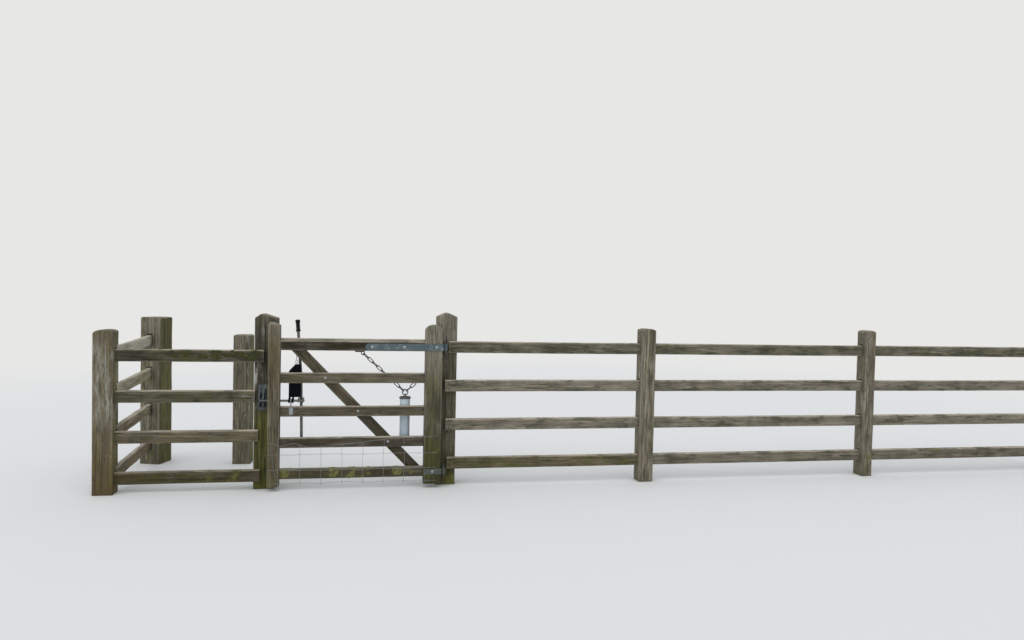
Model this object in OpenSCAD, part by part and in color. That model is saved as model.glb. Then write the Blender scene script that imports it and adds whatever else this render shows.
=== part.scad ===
// Timber riding gate with a chain-and-weight closer, a railed pen and a post-and-rail fence.
// Millimetres. The origin is the middle of the hanging post's foot, +X runs along the fence
// away from the gate, +Y goes away from the side the leaf hangs on, and +Z is up.

/* [Gate posts] */
// Side of the two square gate posts
gate_post_side = 150; // [140:1:160]
// Height of the hanging post at its ridge
hanging_post_height = 1284; // [1260:1:1320]
// Height of the clapping post at its ridge
clapping_post_height = 1254; // [1240:1:1320]
// How far the weathered top falls from ridge to eave
post_top_fall = 30; // [20:1:40]
// Radius of the worn ridge of both gate posts
post_ridge_r = 30; // [10:1:40]
// How far the clapping post's ridge lies to the left of its middle
clapping_ridge_offset = 25; // [0:1:30]
// Middle of the clapping post along the fence
clapping_post_x = -1292; // [-1296:1:-1288]

/* [Leaf] */
// Left edge of the leaf when shut
leaf_left = -1261; // [-1264:1:-1258]
// Right edge of the leaf when shut
leaf_right = -42; // [-44:1:-40]
// Thickness of the stiles and the top rail
stile_thickness = 75; // [70:1:80]
// Clear gap between the leaf and the faces of the gate posts
leaf_gap = 15; // [14:1:20]
// Width of the slam stile
slam_stile_width = 78; // [70:1:85]
// Width of the hanging stile
hanging_stile_width = 124; // [110:1:130]
// Height of the foot of both stiles above the ground
leaf_foot = 30; // [20:1:60]
// Height of the slam stile at its back edge
slam_stile_top = 1200; // [1180:1:1220]
// Height of the hanging stile at the crown of its rounded top
hanging_stile_top = 1196; // [1180:1:1220]
// Underside of the top rail
top_rail_bottom = 1002; // [998:1:1004]
// Height of the top rail at its back edge
top_rail_back = 85; // [80:1:95]
// Height of the top rail at its front edge
top_rail_front = 63; // [60:1:75]
// Depth of each lower rail
rail_depth = 75; // [70:1:78]
// Thickness of the lower rails and of the brace
rail_thickness = 25; // [22:1:28]
// Top of the second rail
second_rail_top = 842; // [835:1:850]
// Top of the third rail
third_rail_top = 603; // [598:1:608]
// Top of the fourth rail
fourth_rail_top = 379; // [372:1:386]
// Top of the bottom rail
bottom_rail_top = 157; // [150:1:165]
// Width of the diagonal brace
brace_width = 75; // [70:1:80]

/* [Hinges] */
// Diameter of the hook pins
pin_d = 19; // [16:1:20]
// Length of the top strap from the pin to its rounded end
top_strap_length = 576; // [400:1:580]
// Depth of the top strap
top_strap_depth = 50; // [40:1:54]
// Middle height of the top strap
top_strap_z = 1031; // [1028:1:1034]
// Length of the bottom band from the pin
bottom_band_length = 147; // [120:1:160]
// Depth of the bottom band
bottom_band_depth = 42; // [36:1:50]
// Middle height of the bottom band
bottom_band_z = 121; // [118:1:124]

/* [Latch] */
// Height of the latch bolt's axis
bolt_z = 641; // [636:1:646]
// Diameter of the latch bolt
bolt_d = 16; // [12:1:18]
// Height of the lever's pivot
lever_pivot_z = 342; // [338:1:346]
// Height of the top of the lever's grip
lever_top_z = 1216; // [1160:1:1230]
// Diameter of the lever
lever_d = 20; // [16:1:20]

/* [Closer] */
// Diameter of the closer weight
weight_d = 76; // [60:1:82]
// Height of the closer weight's body
weight_height = 303; // [200:1:310]
// Thickness of the steel of the chain links
link_wire = 6.5; // [5:0.5:7]
// Outer width of a chain link
link_width = 26; // [25:0.5:28]

/* [Fence] */
// Middle of the near fence post
near_post_x = 1553; // [1400:1:1700]
// Length of each further bay
bay_length = 1908; // [1700:1:2000]
// Depth of a fence rail
fence_rail_depth = 86; // [80:1:90]
// Thickness of a fence rail
fence_rail_thickness = 38; // [34:1:42]
// Height of the top of the top fence rail
fence_top_rail = 1075; // [1060:1:1080]
// Drop from one fence rail to the next
fence_rail_step = 288; // [280:1:292]

/* [Pen] */
// Middle of the pen's front post
pen_front_x = -2334; // [-2400:1:-2300]
// Distance from the origin back to the middle of the pen's rear left post
pen_depth = 872; // [850:1:950]

/* [Hidden] */
$fn = 48;

timber = "tan";
mossy_timber = "olivedrab";
weathered_timber = "darkkhaki";
galvanised = "slategray";
black_iron = "dimgray";

// Planes that the leaf and the posts share
post_face_y = -gate_post_side / 2;
leaf_back_y = post_face_y - leaf_gap;
leaf_front_y = leaf_back_y - stile_thickness;
leaf_mid_y = (leaf_back_y + leaf_front_y) / 2;
rails_left = leaf_left + slam_stile_width;
rails_right = leaf_right - hanging_stile_width;
rails_length = rails_right - rails_left;
tenon_length = 50;
tenon_play = 0.5;
top_tenon = [25, 50];
top_tenon_bottom = top_rail_bottom + 6;
rail_back_y = leaf_back_y - rail_thickness;
rail_front_y = rail_back_y - rail_thickness;

// Hinge pin axis and the play of a moving fit
barrel_d = 34;
strap_wrap = 8;
strap_thickness = 6;
pin_x = leaf_right + strap_wrap + barrel_d / 2;
pin_y = leaf_mid_y;
fit_play = 0.1;
hook_shank_d = 20;
hook_collar = 4;

// Fence line
fence_line_y = post_face_y - fence_rail_thickness / 2;
mortice_side_play = 4;
mortice_head_play = 10;
rail_end_gap = 4;
fence_post_depth = 110;

// Fence posts: middle, width and height, and the radius of the worn top corners
near_post = [near_post_x, 117, 1190];
middle_post = [near_post_x + bay_length + 10, 95, 1202];
far_post = [near_post_x + 2 * bay_length, 105, 1195];
top_corner = 14;
fence_rail_tops = [for (i = [0:3]) fence_top_rail - i * fence_rail_step];
near_rail_starts = [8, -14, -6, 8];

// Pen
pen_front_post_size = [132, fence_post_depth, 1132];
pen_front_left_corner = 38;
pen_front_rail_tops = [998, 713, 431, 147];
pen_front_rail_start = pen_front_x + 20;
pen_front_rail_ends = [-1296, -1354, -1330, -1318];
pen_side_x = pen_front_x + 44;
pen_side_yaw = 1.9;
pen_side_rail_near = [1013, 748, 459, 172];
pen_side_rail_rise = 34;
pen_rear_left = [pen_front_x + 46, pen_depth, 171, 1192];
pen_rear_left_yaw = -16.7;
pen_rear_right = [-1595, 798, 141, 1060];
pen_mortice_depth = 30;
pen_mortice_drop = 2;
pen_rail_play = 3;
pen_rear_tenon_short = 45;
pen_side_start = fence_line_y + fence_post_depth / 2 - pen_mortice_depth + pen_rail_play;
pen_side_length = pen_depth - pen_rear_tenon_short - pen_side_start;

// Latch
bolt_tip_x = leaf_left - 60;
bolt_heel_x = -1014;
bolt_bore_play = 1;
lever_y = leaf_back_y + 18;
lever_foot = [-1037, lever_y, lever_pivot_z];
lever_bend = [-1045, lever_y, 800];
lever_lean = 0.07;
lever_top = [lever_bend[0] - lever_lean * (lever_top_z - lever_bend[2]), lever_y, lever_top_z];
grip_length = 84;
grip_d = 34;
grip_waist = 3;
grip_end = 7.5;
pivot_stud_d = 12;
foot_boss_d = 36;
foot_thickness = 20;
foot_play = 1;

// Closer: eyes on the leaf and the post, and the ring that both half chains share
leaf_eye = [-612, leaf_back_y + 12, 980];
post_eye = [post_face_y - 17, -52, 878];
ring_x = -303;
ring_z = 692;
chain_share = (ring_x - leaf_eye[0]) / (post_eye[0] - leaf_eye[0]);
ring_y = leaf_eye[1] + chain_share * (post_eye[1] - leaf_eye[1]);
ring_centre = [ring_x, ring_y, ring_z];
eye_r = 12;
eye_wire = 6.5;
ring_r = 20;
ring_wire = 8;
link_play = 0.5;

// How far from the middle of an eye or ring the end bar of a link lies when the chain is taut
function link_reach(r, wire, play) = r - wire / 2 - link_wire / 2 - play;
leaf_eye_play = 0.9;
leaf_ring_play = 1.25;
post_ring_play = 3.75;

// The half chain on the post swings about this axis, so its eye lies square to it
post_swing_axis = unit([0.3152, -0.2139, -0.9246]);
post_pull = unit(ring_centre - post_eye);
post_pull_in_eye = unit(post_pull - (post_pull * post_swing_axis) * post_swing_axis);
post_chain_start = post_eye + eye_r * (post_pull_in_eye - post_pull);
shank_side = unit([1, 0, 0] - post_swing_axis[0] * post_swing_axis);
post_shank_start = post_eye + eye_r * shank_side;
post_shank_length = 45;

// Number of links in each half chain, the roll of its first link and the turn from link to link
leaf_chain_links = 9;
leaf_chain_roll = -24;
leaf_chain_turn = 90;
post_chain_links = 6;
post_chain_roll = 104;
post_chain_turn = 87;
lid_height = 16;
lid_rim = 9;
lid_d = weight_d + 10;
lid_eye_r = 11;
weight_top = ring_z - ring_r - lid_height - 10;

// Netting
netting_wire = 3;
netting_left = leaf_left + 6;
netting_right = leaf_right - 30;
netting_heights = [58, 150, 262, 385];
netting_spacing = 146;
netting_y = leaf_front_y - netting_wire / 2;

function unit(v) = v / norm(v);
function yaw_of(v) = atan2(v[1], v[0]);
function dip_of(v) = atan2(-v[2], norm([v[0], v[1]]));

// Round bar between two points
module bar(start, end, d) {
    span = end - start;
    translate(start)
        rotate([0, acos(span[2] / norm(span)), yaw_of(span)])
            cylinder(d = d, h = norm(span));
}

// Flat plate in the XZ plane, thickness along Y, with rounded corners
module rounded_plate(low, high, front, back, r) {
    width = high[0] - low[0];
    height = high[1] - low[1];
    thickness = back - front;
    translate([low[0] + r, front, low[1]])
        cube([width - 2 * r, thickness, height]);
    translate([low[0], front, low[1] + r])
        cube([width, thickness, height - 2 * r]);
    for (x = [low[0] + r, high[0] - r])
        for (z = [low[1] + r, high[1] - r])
            translate([x, back, z])
                rotate([90, 0, 0])
                    cylinder(r = r, h = thickness);
}

// Outline drawn in XZ and given a depth along Y, from front to back
module standing_profile(points, front, back) {
    translate([0, back, 0])
        rotate([90, 0, 0])
            linear_extrude(height = back - front)
                polygon(points);
}

// Outline drawn in YZ and given a length along X, from left to right
module running_profile(points, left, right) {
    translate([left, 0, 0])
        rotate([90, 0, 90])
            linear_extrude(height = right - left)
                polygon(points);
}

// Square gate post with a top weathered two ways from a worn ridge that runs front to back
module gate_post(x, height, ridge_offset) {
    half = gate_post_side / 2;
    eave = height - post_top_fall;
    slope = atan(post_top_fall / half);
    ridge_x = x - ridge_offset;
    cap_x = post_ridge_r * sin(slope);
    centre_z = height - post_ridge_r;
    cap_z = centre_z + post_ridge_r * cos(slope);
    standing_profile(
        [
            [x - half, 0], [x + half, 0], [x + half, eave],
            [ridge_x + cap_x, cap_z], [ridge_x, centre_z], [ridge_x - cap_x, cap_z], [x - half, eave]
        ],
        -half, half
    );
    translate([ridge_x, half, centre_z])
        rotate([90, 0, 0])
            cylinder(r = post_ridge_r, h = gate_post_side, $fn = 96);
}

// Sawn fence post with the top corners worn round, the left one more than the right where it is given
module fence_post(width, depth, height, left_corner = top_corner) {
    half = width / 2;
    translate([0, depth / 2, 0])
        rotate([90, 0, 0])
            linear_extrude(height = depth)
                union() {
                    translate([-half, 0])
                        square([width, height - left_corner]);
                    translate([-half + left_corner, 0])
                        square([width - left_corner, height - top_corner]);
                    translate([-half + left_corner, 0])
                        square([width - left_corner - top_corner, height]);
                    translate([-half + left_corner, height - left_corner])
                        circle(r = left_corner);
                    translate([half - top_corner, height - top_corner])
                        circle(r = top_corner);
                }
}

// Mortice cut along X for a rail with its underside at z
module rail_mortice(left, right, z) {
    width = fence_rail_thickness + 2 * mortice_side_play;
    translate([left, fence_line_y - width / 2, z])
        cube([right - left, width, fence_rail_depth + mortice_head_play]);
}

module hanging_post() {
    color(timber)
        difference() {
            gate_post(0, hanging_post_height, 0);
            for (z = [top_shank_z(), bottom_shank_z()])
                translate([pin_x, gate_post_side, z])
                    rotate([90, 0, 0])
                        cylinder(d = hook_shank_d + 1, h = 2 * gate_post_side);
            translate(post_shank_start)
                rotate([0, 90, 0])
                    cylinder(d = eye_wire + 1, h = post_shank_length + 2);
        }
}

module clapping_post() {
    color(mossy_timber)
        gate_post(clapping_post_x, clapping_post_height, clapping_ridge_offset);
}

// Fence post with a mortice for each rail that comes to it
module morticed_fence_post(post, cut_left, cut_right) {
    difference() {
        translate([post[0], fence_line_y, 0])
            fence_post(post[1], fence_post_depth, post[2]);
        for (top = fence_rail_tops)
            rail_mortice(cut_left, cut_right, top - fence_rail_depth);
    }
}

module fence_post_near() {
    color(timber)
        morticed_fence_post(near_post, near_post[0] - near_post[1], near_post[0] + near_post[1]);
}

module fence_post_middle() {
    color(timber)
        morticed_fence_post(middle_post, middle_post[0] - middle_post[1], middle_post[0] + middle_post[1]);
}

module fence_post_far() {
    color(timber)
        morticed_fence_post(far_post, far_post[0] - far_post[1], far_post[0]);
}

// Frame of the pen's side rails: +Y runs along them from their front ends
module along_pen_side() {
    translate([pen_side_x, pen_side_start, 0])
        rotate([0, 0, pen_side_yaw])
            children();
}

// Mortice for a side rail, from one distance along the side to another
module side_mortice(start, end, z) {
    width = fence_rail_thickness + 2 * mortice_side_play;
    along_pen_side()
        translate([-width / 2, start, z])
            cube([width, end - start, fence_rail_depth + mortice_head_play]);
}

module pen_front_post() {
    color(weathered_timber)
        difference() {
            translate([pen_front_x, fence_line_y, 0])
                fence_post(pen_front_post_size[0], pen_front_post_size[1], pen_front_post_size[2],
                    pen_front_left_corner);
            for (top = pen_front_rail_tops)
                rail_mortice(pen_front_rail_start - rail_end_gap, pen_front_x + pen_front_post_size[0],
                    top - fence_rail_depth);
            for (top = pen_side_rail_near)
                side_mortice(-pen_rail_play, pen_mortice_depth, top - fence_rail_depth);
        }
}

module pen_rear_left_post() {
    face = pen_side_length - pen_rear_left[2] / 2;
    color(weathered_timber)
        difference() {
            translate([pen_rear_left[0], pen_rear_left[1], 0])
                rotate([0, 0, pen_rear_left_yaw])
                    fence_post(pen_rear_left[2], pen_rear_left[2], pen_rear_left[3]);
            for (top = pen_side_rail_near)
                side_mortice(face, pen_side_length + rail_end_gap,
                    top + pen_side_rail_rise - fence_rail_depth - pen_mortice_drop);
        }
}

module pen_rear_right_post() {
    color(timber)
        translate([pen_rear_right[0], pen_rear_right[1], 0])
            fence_post(pen_rear_right[2], pen_rear_right[2], pen_rear_right[3]);
}

// One straight rail on the fence line
module fence_rail(left, right, top) {
    translate([left, fence_line_y - fence_rail_thickness / 2, top - fence_rail_depth])
        cube([right - left, fence_rail_thickness, fence_rail_depth]);
}

module fence_rails_near() {
    color(timber)
        for (i = [0:3])
            fence_rail(near_rail_starts[i], near_post[0] - rail_end_gap / 2, fence_rail_tops[i]);
}

module fence_rails_middle() {
    color(timber)
        for (top = fence_rail_tops)
            fence_rail(near_post[0] + rail_end_gap / 2, middle_post[0] - rail_end_gap / 2, top);
}

module fence_rails_far() {
    color(timber)
        for (top = fence_rail_tops)
            fence_rail(middle_post[0] + rail_end_gap / 2, far_post[0] - rail_end_gap, top);
}

module pen_front_rails() {
    color(mossy_timber)
        for (i = [0:3])
            fence_rail(pen_front_rail_start, pen_front_rail_ends[i], pen_front_rail_tops[i]);
}

// Rails of the pen's side rise a little to the rear post, so each is a skewed bar
module pen_side_rails() {
    end = pen_side_length;
    color(timber)
        along_pen_side()
            for (top = pen_side_rail_near)
                running_profile(
                    [
                        [0, top - fence_rail_depth], [end, top + pen_side_rail_rise - fence_rail_depth],
                        [end, top + pen_side_rail_rise], [0, top]
                    ],
                    -fence_rail_thickness / 2, fence_rail_thickness / 2
                );
}

function barrel_bottom(z, depth) = z - depth / 2;
function top_shank_z() = barrel_bottom(top_strap_z, top_strap_depth) - hook_collar - hook_shank_d / 2;
function bottom_shank_z() = barrel_bottom(bottom_band_z, bottom_band_depth) - hook_collar - hook_shank_d / 2;

// Hinge hook: a shank through the post, turned up into the pin, with a nut behind the post
module hook(shank_z, pin_top) {
    collar_d = 28;
    nut_across = 34;
    nut_height = 16;
    thread_past_post = 34;
    plate = 70;
    plate_thickness = 5;
    rear = gate_post_side / 2;
    translate([pin_x, pin_y, shank_z]) {
        sphere(d = hook_shank_d);
        cylinder(d = pin_d, h = pin_top - shank_z);
        translate([0, 0, hook_shank_d / 2 - 1])
            cylinder(d = collar_d, h = hook_collar);
        rotate([-90, 0, 0])
            cylinder(d = hook_shank_d, h = rear + thread_past_post - pin_y);
    }
    translate([pin_x - plate / 2, rear, shank_z - plate / 2])
        cube([plate, plate_thickness, plate]);
    translate([pin_x, rear + plate_thickness - 1, shank_z])
        rotate([-90, 0, 0])
            cylinder(d = nut_across, h = nut_height + 1, $fn = 6);
}

module top_hook() {
    color(galvanised)
        hook(top_shank_z(), top_strap_z + top_strap_depth / 2 + 8);
}

module bottom_hook() {
    color(galvanised)
        hook(bottom_shank_z(), bottom_band_z + bottom_band_depth / 2 + 20);
}

// Strap that wraps the stile, front and back, with a barrel for the pin
module hinge_strap(z, depth, reach, end_r) {
    left = pin_x - reach;
    wrap_left = leaf_right;
    low = z - depth / 2;
    high = z + depth / 2;
    difference() {
        union() {
            rounded_plate([left, low], [wrap_left + strap_wrap, high],
                leaf_front_y - strap_thickness, leaf_front_y, end_r);
            rounded_plate([left, low], [wrap_left + strap_wrap, high],
                leaf_back_y, leaf_back_y + strap_thickness, end_r);
            translate([wrap_left, leaf_front_y - strap_thickness, low])
                cube([strap_wrap, stile_thickness + 2 * strap_thickness, depth]);
            translate([wrap_left, pin_y - barrel_d / 4, low])
                cube([strap_wrap + barrel_d / 2, barrel_d / 2, depth]);
            translate([pin_x, pin_y, low])
                cylinder(d = barrel_d, h = depth);
        }
        translate([pin_x, pin_y, low - 1])
            cylinder(d = pin_d + fit_play, h = depth + 2);
    }
}

module top_hinge_strap() {
    color(galvanised)
        hinge_strap(top_strap_z, top_strap_depth, top_strap_length, top_strap_depth / 2 - 1);
}

module bottom_hinge_band() {
    color(galvanised)
        hinge_strap(bottom_band_z, bottom_band_depth, bottom_band_length, 6);
}

// Catch: a plate on the clapping post and two cheeks with a notch, open to the front, for the bolt
module latch_catch() {
    plate_left = clapping_post_x - 48;
    plate_right = clapping_post_x + 16;
    plate_low = 568;
    plate_high = 750;
    plate_front = post_face_y - 5;
    plate_corner = 8;
    cheek_left = plate_left + 14;
    cheek_thickness = 8;
    cheek_spacing = 28;
    cheek_front = leaf_front_y + 20;
    cheek_inset = 16;
    jaw = 12;
    notch = bolt_d / 2 + 7;
    notch_back = pin_y + notch;
    web_front = notch_back + 4;
    color(galvanised) {
        rounded_plate([plate_left, plate_low], [plate_right, plate_high],
            plate_front, post_face_y, plate_corner);
        for (i = [0, 1])
            running_profile(
                [
                    [plate_front + 1, plate_low + cheek_inset],
                    [cheek_front, bolt_z - notch - jaw], [cheek_front, bolt_z - notch],
                    [notch_back, bolt_z - notch], [notch_back, bolt_z + notch],
                    [cheek_front, bolt_z + notch], [cheek_front, bolt_z + notch + jaw],
                    [plate_front + 1, plate_high - cheek_inset]
                ],
                cheek_left + i * cheek_spacing, cheek_left + i * cheek_spacing + cheek_thickness
            );
        translate([cheek_left, web_front, bolt_z - notch])
            cube([cheek_spacing + cheek_thickness, plate_front + 1 - web_front, 2 * notch]);
    }
}

// Round eye: a ring of wire
module wire_ring(r, wire) {
    rotate_extrude()
        translate([r, 0])
            circle(d = wire);
}

module post_chain_eye() {
    color(galvanised) {
        translate(post_eye)
            rotate([0, acos(post_swing_axis[2]), yaw_of(post_swing_axis)])
                wire_ring(eye_r, eye_wire);
        translate(post_shank_start)
            rotate([0, 90, 0])
                cylinder(d = eye_wire, h = post_shank_length);
    }
}

// Mortices for the five rails, from one distance along the leaf to another
module leaf_mortices(left, right) {
    play = tenon_play;
    for (top = [second_rail_top, third_rail_top, fourth_rail_top, bottom_rail_top])
        translate([left, rail_front_y - play, top - rail_depth - play])
            cube([right - left, rail_thickness + 2 * play, rail_depth + 2 * play]);
    translate([left, leaf_mid_y - top_tenon[0] / 2 - play, top_tenon_bottom - play])
        cube([right - left, top_tenon[0] + 2 * play, top_tenon[1] + 2 * play]);
}

// Slam stile, its head cut down to the front and to the right
module slam_stile() {
    front_fall = 28;
    right_fall = 22;
    color(timber)
        difference() {
            intersection() {
                running_profile(
                    [
                        [leaf_front_y, leaf_foot], [leaf_back_y, leaf_foot],
                        [leaf_back_y, slam_stile_top], [leaf_front_y, slam_stile_top - front_fall]
                    ],
                    leaf_left, rails_left
                );
                standing_profile(
                    [
                        [leaf_left, leaf_foot], [rails_left, leaf_foot],
                        [rails_left, slam_stile_top - right_fall],
                        [leaf_left + slam_stile_width / 3, slam_stile_top], [leaf_left, slam_stile_top]
                    ],
                    leaf_front_y, leaf_back_y
                );
            }
            translate([leaf_left - 1, leaf_mid_y, bolt_z])
                rotate([0, 90, 0])
                    cylinder(d = bolt_d + 2 * bolt_bore_play, h = slam_stile_width + 2);
            leaf_mortices(rails_left - tenon_length - tenon_play, rails_left + 1);
        }
}

// Hanging stile, its top an arc that falls a little to each edge
module hanging_stile() {
    sagitta = 22;
    half = hanging_stile_width / 2;
    crown_r = (half * half + sagitta * sagitta) / (2 * sagitta);
    shoulder = hanging_stile_top - sagitta;
    color(timber)
        difference() {
            intersection() {
                translate([rails_right, leaf_front_y, leaf_foot])
                    cube([hanging_stile_width, stile_thickness, hanging_stile_top - leaf_foot + 1]);
                union() {
                    translate([rails_right - 1, leaf_front_y - 1, leaf_foot - 1])
                        cube([hanging_stile_width + 2, stile_thickness + 2, shoulder - leaf_foot + 1]);
                    translate([rails_right + half, leaf_back_y + 1, hanging_stile_top - crown_r])
                        rotate([90, 0, 0])
                            cylinder(r = crown_r, h = stile_thickness + 2, $fn = 96);
                }
            }
            leaf_mortices(rails_right - 1, rails_right + tenon_length + tenon_play);
        }
}

// Top rail, weathered to the front, with a shouldered tenon at each end
module top_rail() {
    color(timber) {
        running_profile(
            [
                [leaf_front_y, top_rail_bottom], [leaf_back_y, top_rail_bottom],
                [leaf_back_y, top_rail_bottom + top_rail_back],
                [leaf_front_y, top_rail_bottom + top_rail_front]
            ],
            rails_left, rails_right
        );
        translate([rails_left - tenon_length, leaf_mid_y - top_tenon[0] / 2, top_tenon_bottom])
            cube([rails_length + 2 * tenon_length, top_tenon[0], top_tenon[1]]);
    }
}

// Lower rail, housed in both stiles at its full section
module lower_rail(top) {
    color(timber)
        translate([rails_left - tenon_length, rail_front_y, top - rail_depth])
            cube([rails_length + 2 * tenon_length, rail_thickness, rail_depth]);
}

module second_rail() {
    lower_rail(second_rail_top);
}

module third_rail() {
    lower_rail(third_rail_top);
}

module fourth_rail() {
    lower_rail(fourth_rail_top);
}

module bottom_rail() {
    lower_rail(bottom_rail_top);
}

// Brace from under the top rail down to the foot of the hanging stile, behind the rails
module brace() {
    middle = [-647, 573];
    slope = 46;
    foot = bottom_rail_top - rail_depth;
    color(timber)
        intersection() {
            translate([rails_left, rail_back_y, foot])
                cube([rails_length, rail_thickness, top_rail_bottom - foot]);
            translate([middle[0], rail_back_y, middle[1]])
                rotate([0, slope, 0])
                    translate([-rails_length, 0, -brace_width / 2])
                        cube([2 * rails_length, rail_thickness, brace_width]);
        }
}

// Bracket on the back of the top rail that carries the eye of the leaf's half chain
module chain_bracket() {
    plate_left = leaf_eye[0] - 56;
    plate_right = leaf_eye[0] + 12;
    plate_low = leaf_eye[2] + 8;
    plate_height = 44;
    plate_thickness = 5;
    tongue = [12, leaf_eye[1] - leaf_back_y, 10];
    color(black_iron) {
        rounded_plate([plate_left, plate_low], [plate_right, plate_low + plate_height],
            leaf_back_y, leaf_back_y + plate_thickness, plate_thickness);
        translate([leaf_eye[0] - tongue[0] / 2, leaf_back_y + 1, plate_low])
            cube(tongue);
        translate(leaf_eye)
            rotate([90, 0, 0])
                wire_ring(eye_r, eye_wire);
    }
}

// Latch housing on the back of the second rail: a shell open below, with two lugs that guide the bolt
module latch_housing() {
    left = -1125;
    right = -1040;
    low = 664;
    high = 898;
    back = rail_back_y + 24;
    shoulder = [42, 46];
    corner = 8;
    wall = 3;
    shell = [
        [left, low], [right, low], [right, high - corner], [right - corner, high],
        [left + shoulder[0], high], [left, high - shoulder[1]]
    ];
    hollow = [
        [left + wall, low - 1], [right - wall, low - 1], [right - wall, high - corner - wall / 2],
        [right - corner - wall / 2, high - wall], [left + shoulder[0] + wall / 2, high - wall],
        [left + wall, high - shoulder[1] - wall / 2]
    ];
    lug_r = 16;
    lug_thickness = 12;
    lug_spacing = 24;
    lug_overlap = 17;
    color(black_iron)
        difference() {
            union() {
                standing_profile(shell, rail_back_y, back);
                for (x = [left, left + lug_spacing])
                    translate([x, 0, bolt_z]) {
                        translate([0, leaf_mid_y, 0])
                            rotate([0, 90, 0])
                                cylinder(r = lug_r, h = lug_thickness);
                        translate([0, leaf_mid_y, 0])
                            cube([lug_thickness, back - leaf_mid_y, lug_r]);
                        translate([0, rail_back_y, 0])
                            cube([lug_thickness, back - rail_back_y, low + lug_overlap - bolt_z]);
                    }
            }
            standing_profile(hollow, rail_back_y + wall, back - wall);
            translate([left - 1, leaf_mid_y, bolt_z])
                rotate([0, 90, 0])
                    cylinder(d = bolt_d + 2 * bolt_bore_play, h = lug_spacing + lug_thickness + 2);
        }
}

// Bracket on the back of the fourth rail, with the stud that the lever turns on
module lever_bracket() {
    plate_half = [34, 30];
    plate_thickness = 6;
    spacer_d = 24;
    nut_across = 22;
    nut_height = 10;
    foot_back = lever_y + foot_thickness / 2;
    root = rail_back_y + 1;
    color(galvanised) {
        rounded_plate(
            [lever_foot[0] - plate_half[0], lever_pivot_z - plate_half[1]],
            [lever_foot[0] + plate_half[0], lever_pivot_z + plate_half[1]],
            rail_back_y, rail_back_y + plate_thickness, plate_thickness
        );
        translate([lever_foot[0], root, lever_pivot_z])
            rotate([-90, 0, 0])
                cylinder(d = spacer_d, h = lever_y - foot_thickness / 2 - foot_play - root);
        translate([lever_foot[0], root, lever_pivot_z])
            rotate([-90, 0, 0])
                cylinder(d = pivot_stud_d, h = foot_back + nut_height - root);
        translate([lever_foot[0], foot_back + foot_play, lever_pivot_z])
            rotate([-90, 0, 0])
                cylinder(d = nut_across, h = nut_height, $fn = 6);
    }
}

// Oval plate on the front of the third rail
module oval_plate() {
    centre = [-1104, 569];
    oval_width = 28;
    oval_height = 57;
    between_rounds = oval_height - oval_width;
    thickness = 4;
    color(galvanised) {
        translate([centre[0] - oval_width / 2, rail_front_y - thickness, centre[1] - between_rounds / 2])
            cube([oval_width, thickness, between_rounds]);
        for (side = [-1, 1])
            translate([centre[0], rail_front_y, centre[1] + side * between_rounds / 2])
                rotate([90, 0, 0])
                    cylinder(d = oval_width, h = thickness);
    }
}

// Netting on the front of the leaf: line wires and stay wires in one plane, fused where they cross
module wire_netting() {
    low = netting_heights[0];
    high = netting_heights[len(netting_heights) - 1];
    color(galvanised) {
        for (z = netting_heights)
            bar([netting_left, netting_y, z], [netting_right, netting_y, z], netting_wire, $fn = 8);
        for (x = [netting_left : netting_spacing : rails_right])
            bar([x, netting_y, low], [x, netting_y, high], netting_wire, $fn = 8);
    }
}

// Lever with a bored foot, a slight bend, and a bare top inside its grip
module latch_lever() {
    color(galvanised)
        difference() {
            union() {
                bar(lever_foot, lever_bend, lever_d);
                translate(lever_bend)
                    sphere(d = lever_d);
                bar(lever_bend, lever_top - (grip_end + fit_play) * grip_way(), lever_d);
                translate([lever_foot[0], lever_y + foot_thickness / 2, lever_pivot_z])
                    rotate([90, 0, 0])
                        cylinder(d = foot_boss_d, h = foot_thickness);
            }
            translate([lever_foot[0], lever_y + foot_thickness, lever_pivot_z])
                rotate([90, 0, 0])
                    cylinder(d = pivot_stud_d + fit_play, h = 2 * foot_thickness);
        }
}

function grip_way() = (lever_top - lever_bend) / norm(lever_top - lever_bend);

// Grip: a closed sleeve, waisted for the hand, drawn as a revolve about the lever
module lever_grip() {
    r = grip_d / 2;
    waist_r = r - grip_waist;
    bore = (lever_d + fit_play) / 2;
    foot_bead = [6, 14];
    head_bead = [grip_length - 26, grip_length - 16];
    crown = 5;
    color("darkslategray")
        translate(lever_top - grip_length * grip_way())
            rotate([0, acos(grip_way()[2]), yaw_of(grip_way())])
                rotate_extrude()
                    polygon([
                        [bore, 0], [r, 0], [r, foot_bead[0]], [waist_r, foot_bead[1]],
                        [waist_r, head_bead[0]], [r, head_bead[1]],
                        [r, grip_length - crown], [r - crown, grip_length],
                        [0, grip_length], [0, grip_length - grip_end], [bore, grip_length - grip_end]
                    ]);
}

// Bolt: a round bar through the slam stile, with a fork at its heel that the lever works in
module latch_bolt() {
    lever_share = (bolt_z - lever_pivot_z) / (lever_bend[2] - lever_pivot_z);
    lever_x = lever_foot[0] + lever_share * (lever_bend[0] - lever_foot[0]);
    fork_gap = lever_d + 6;
    plate = 6;
    height = 30;
    back = lever_y + lever_d / 2 + plate;
    color(galvanised) {
        translate([bolt_tip_x, leaf_mid_y, bolt_z])
            rotate([0, 90, 0])
                cylinder(d = bolt_d, h = bolt_heel_x - bolt_tip_x);
        for (x = [lever_x - fork_gap / 2 - plate, lever_x + fork_gap / 2])
            translate([x, leaf_mid_y, bolt_z - height / 2])
                cube([plate, back - leaf_mid_y, height]);
    }
}

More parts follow.
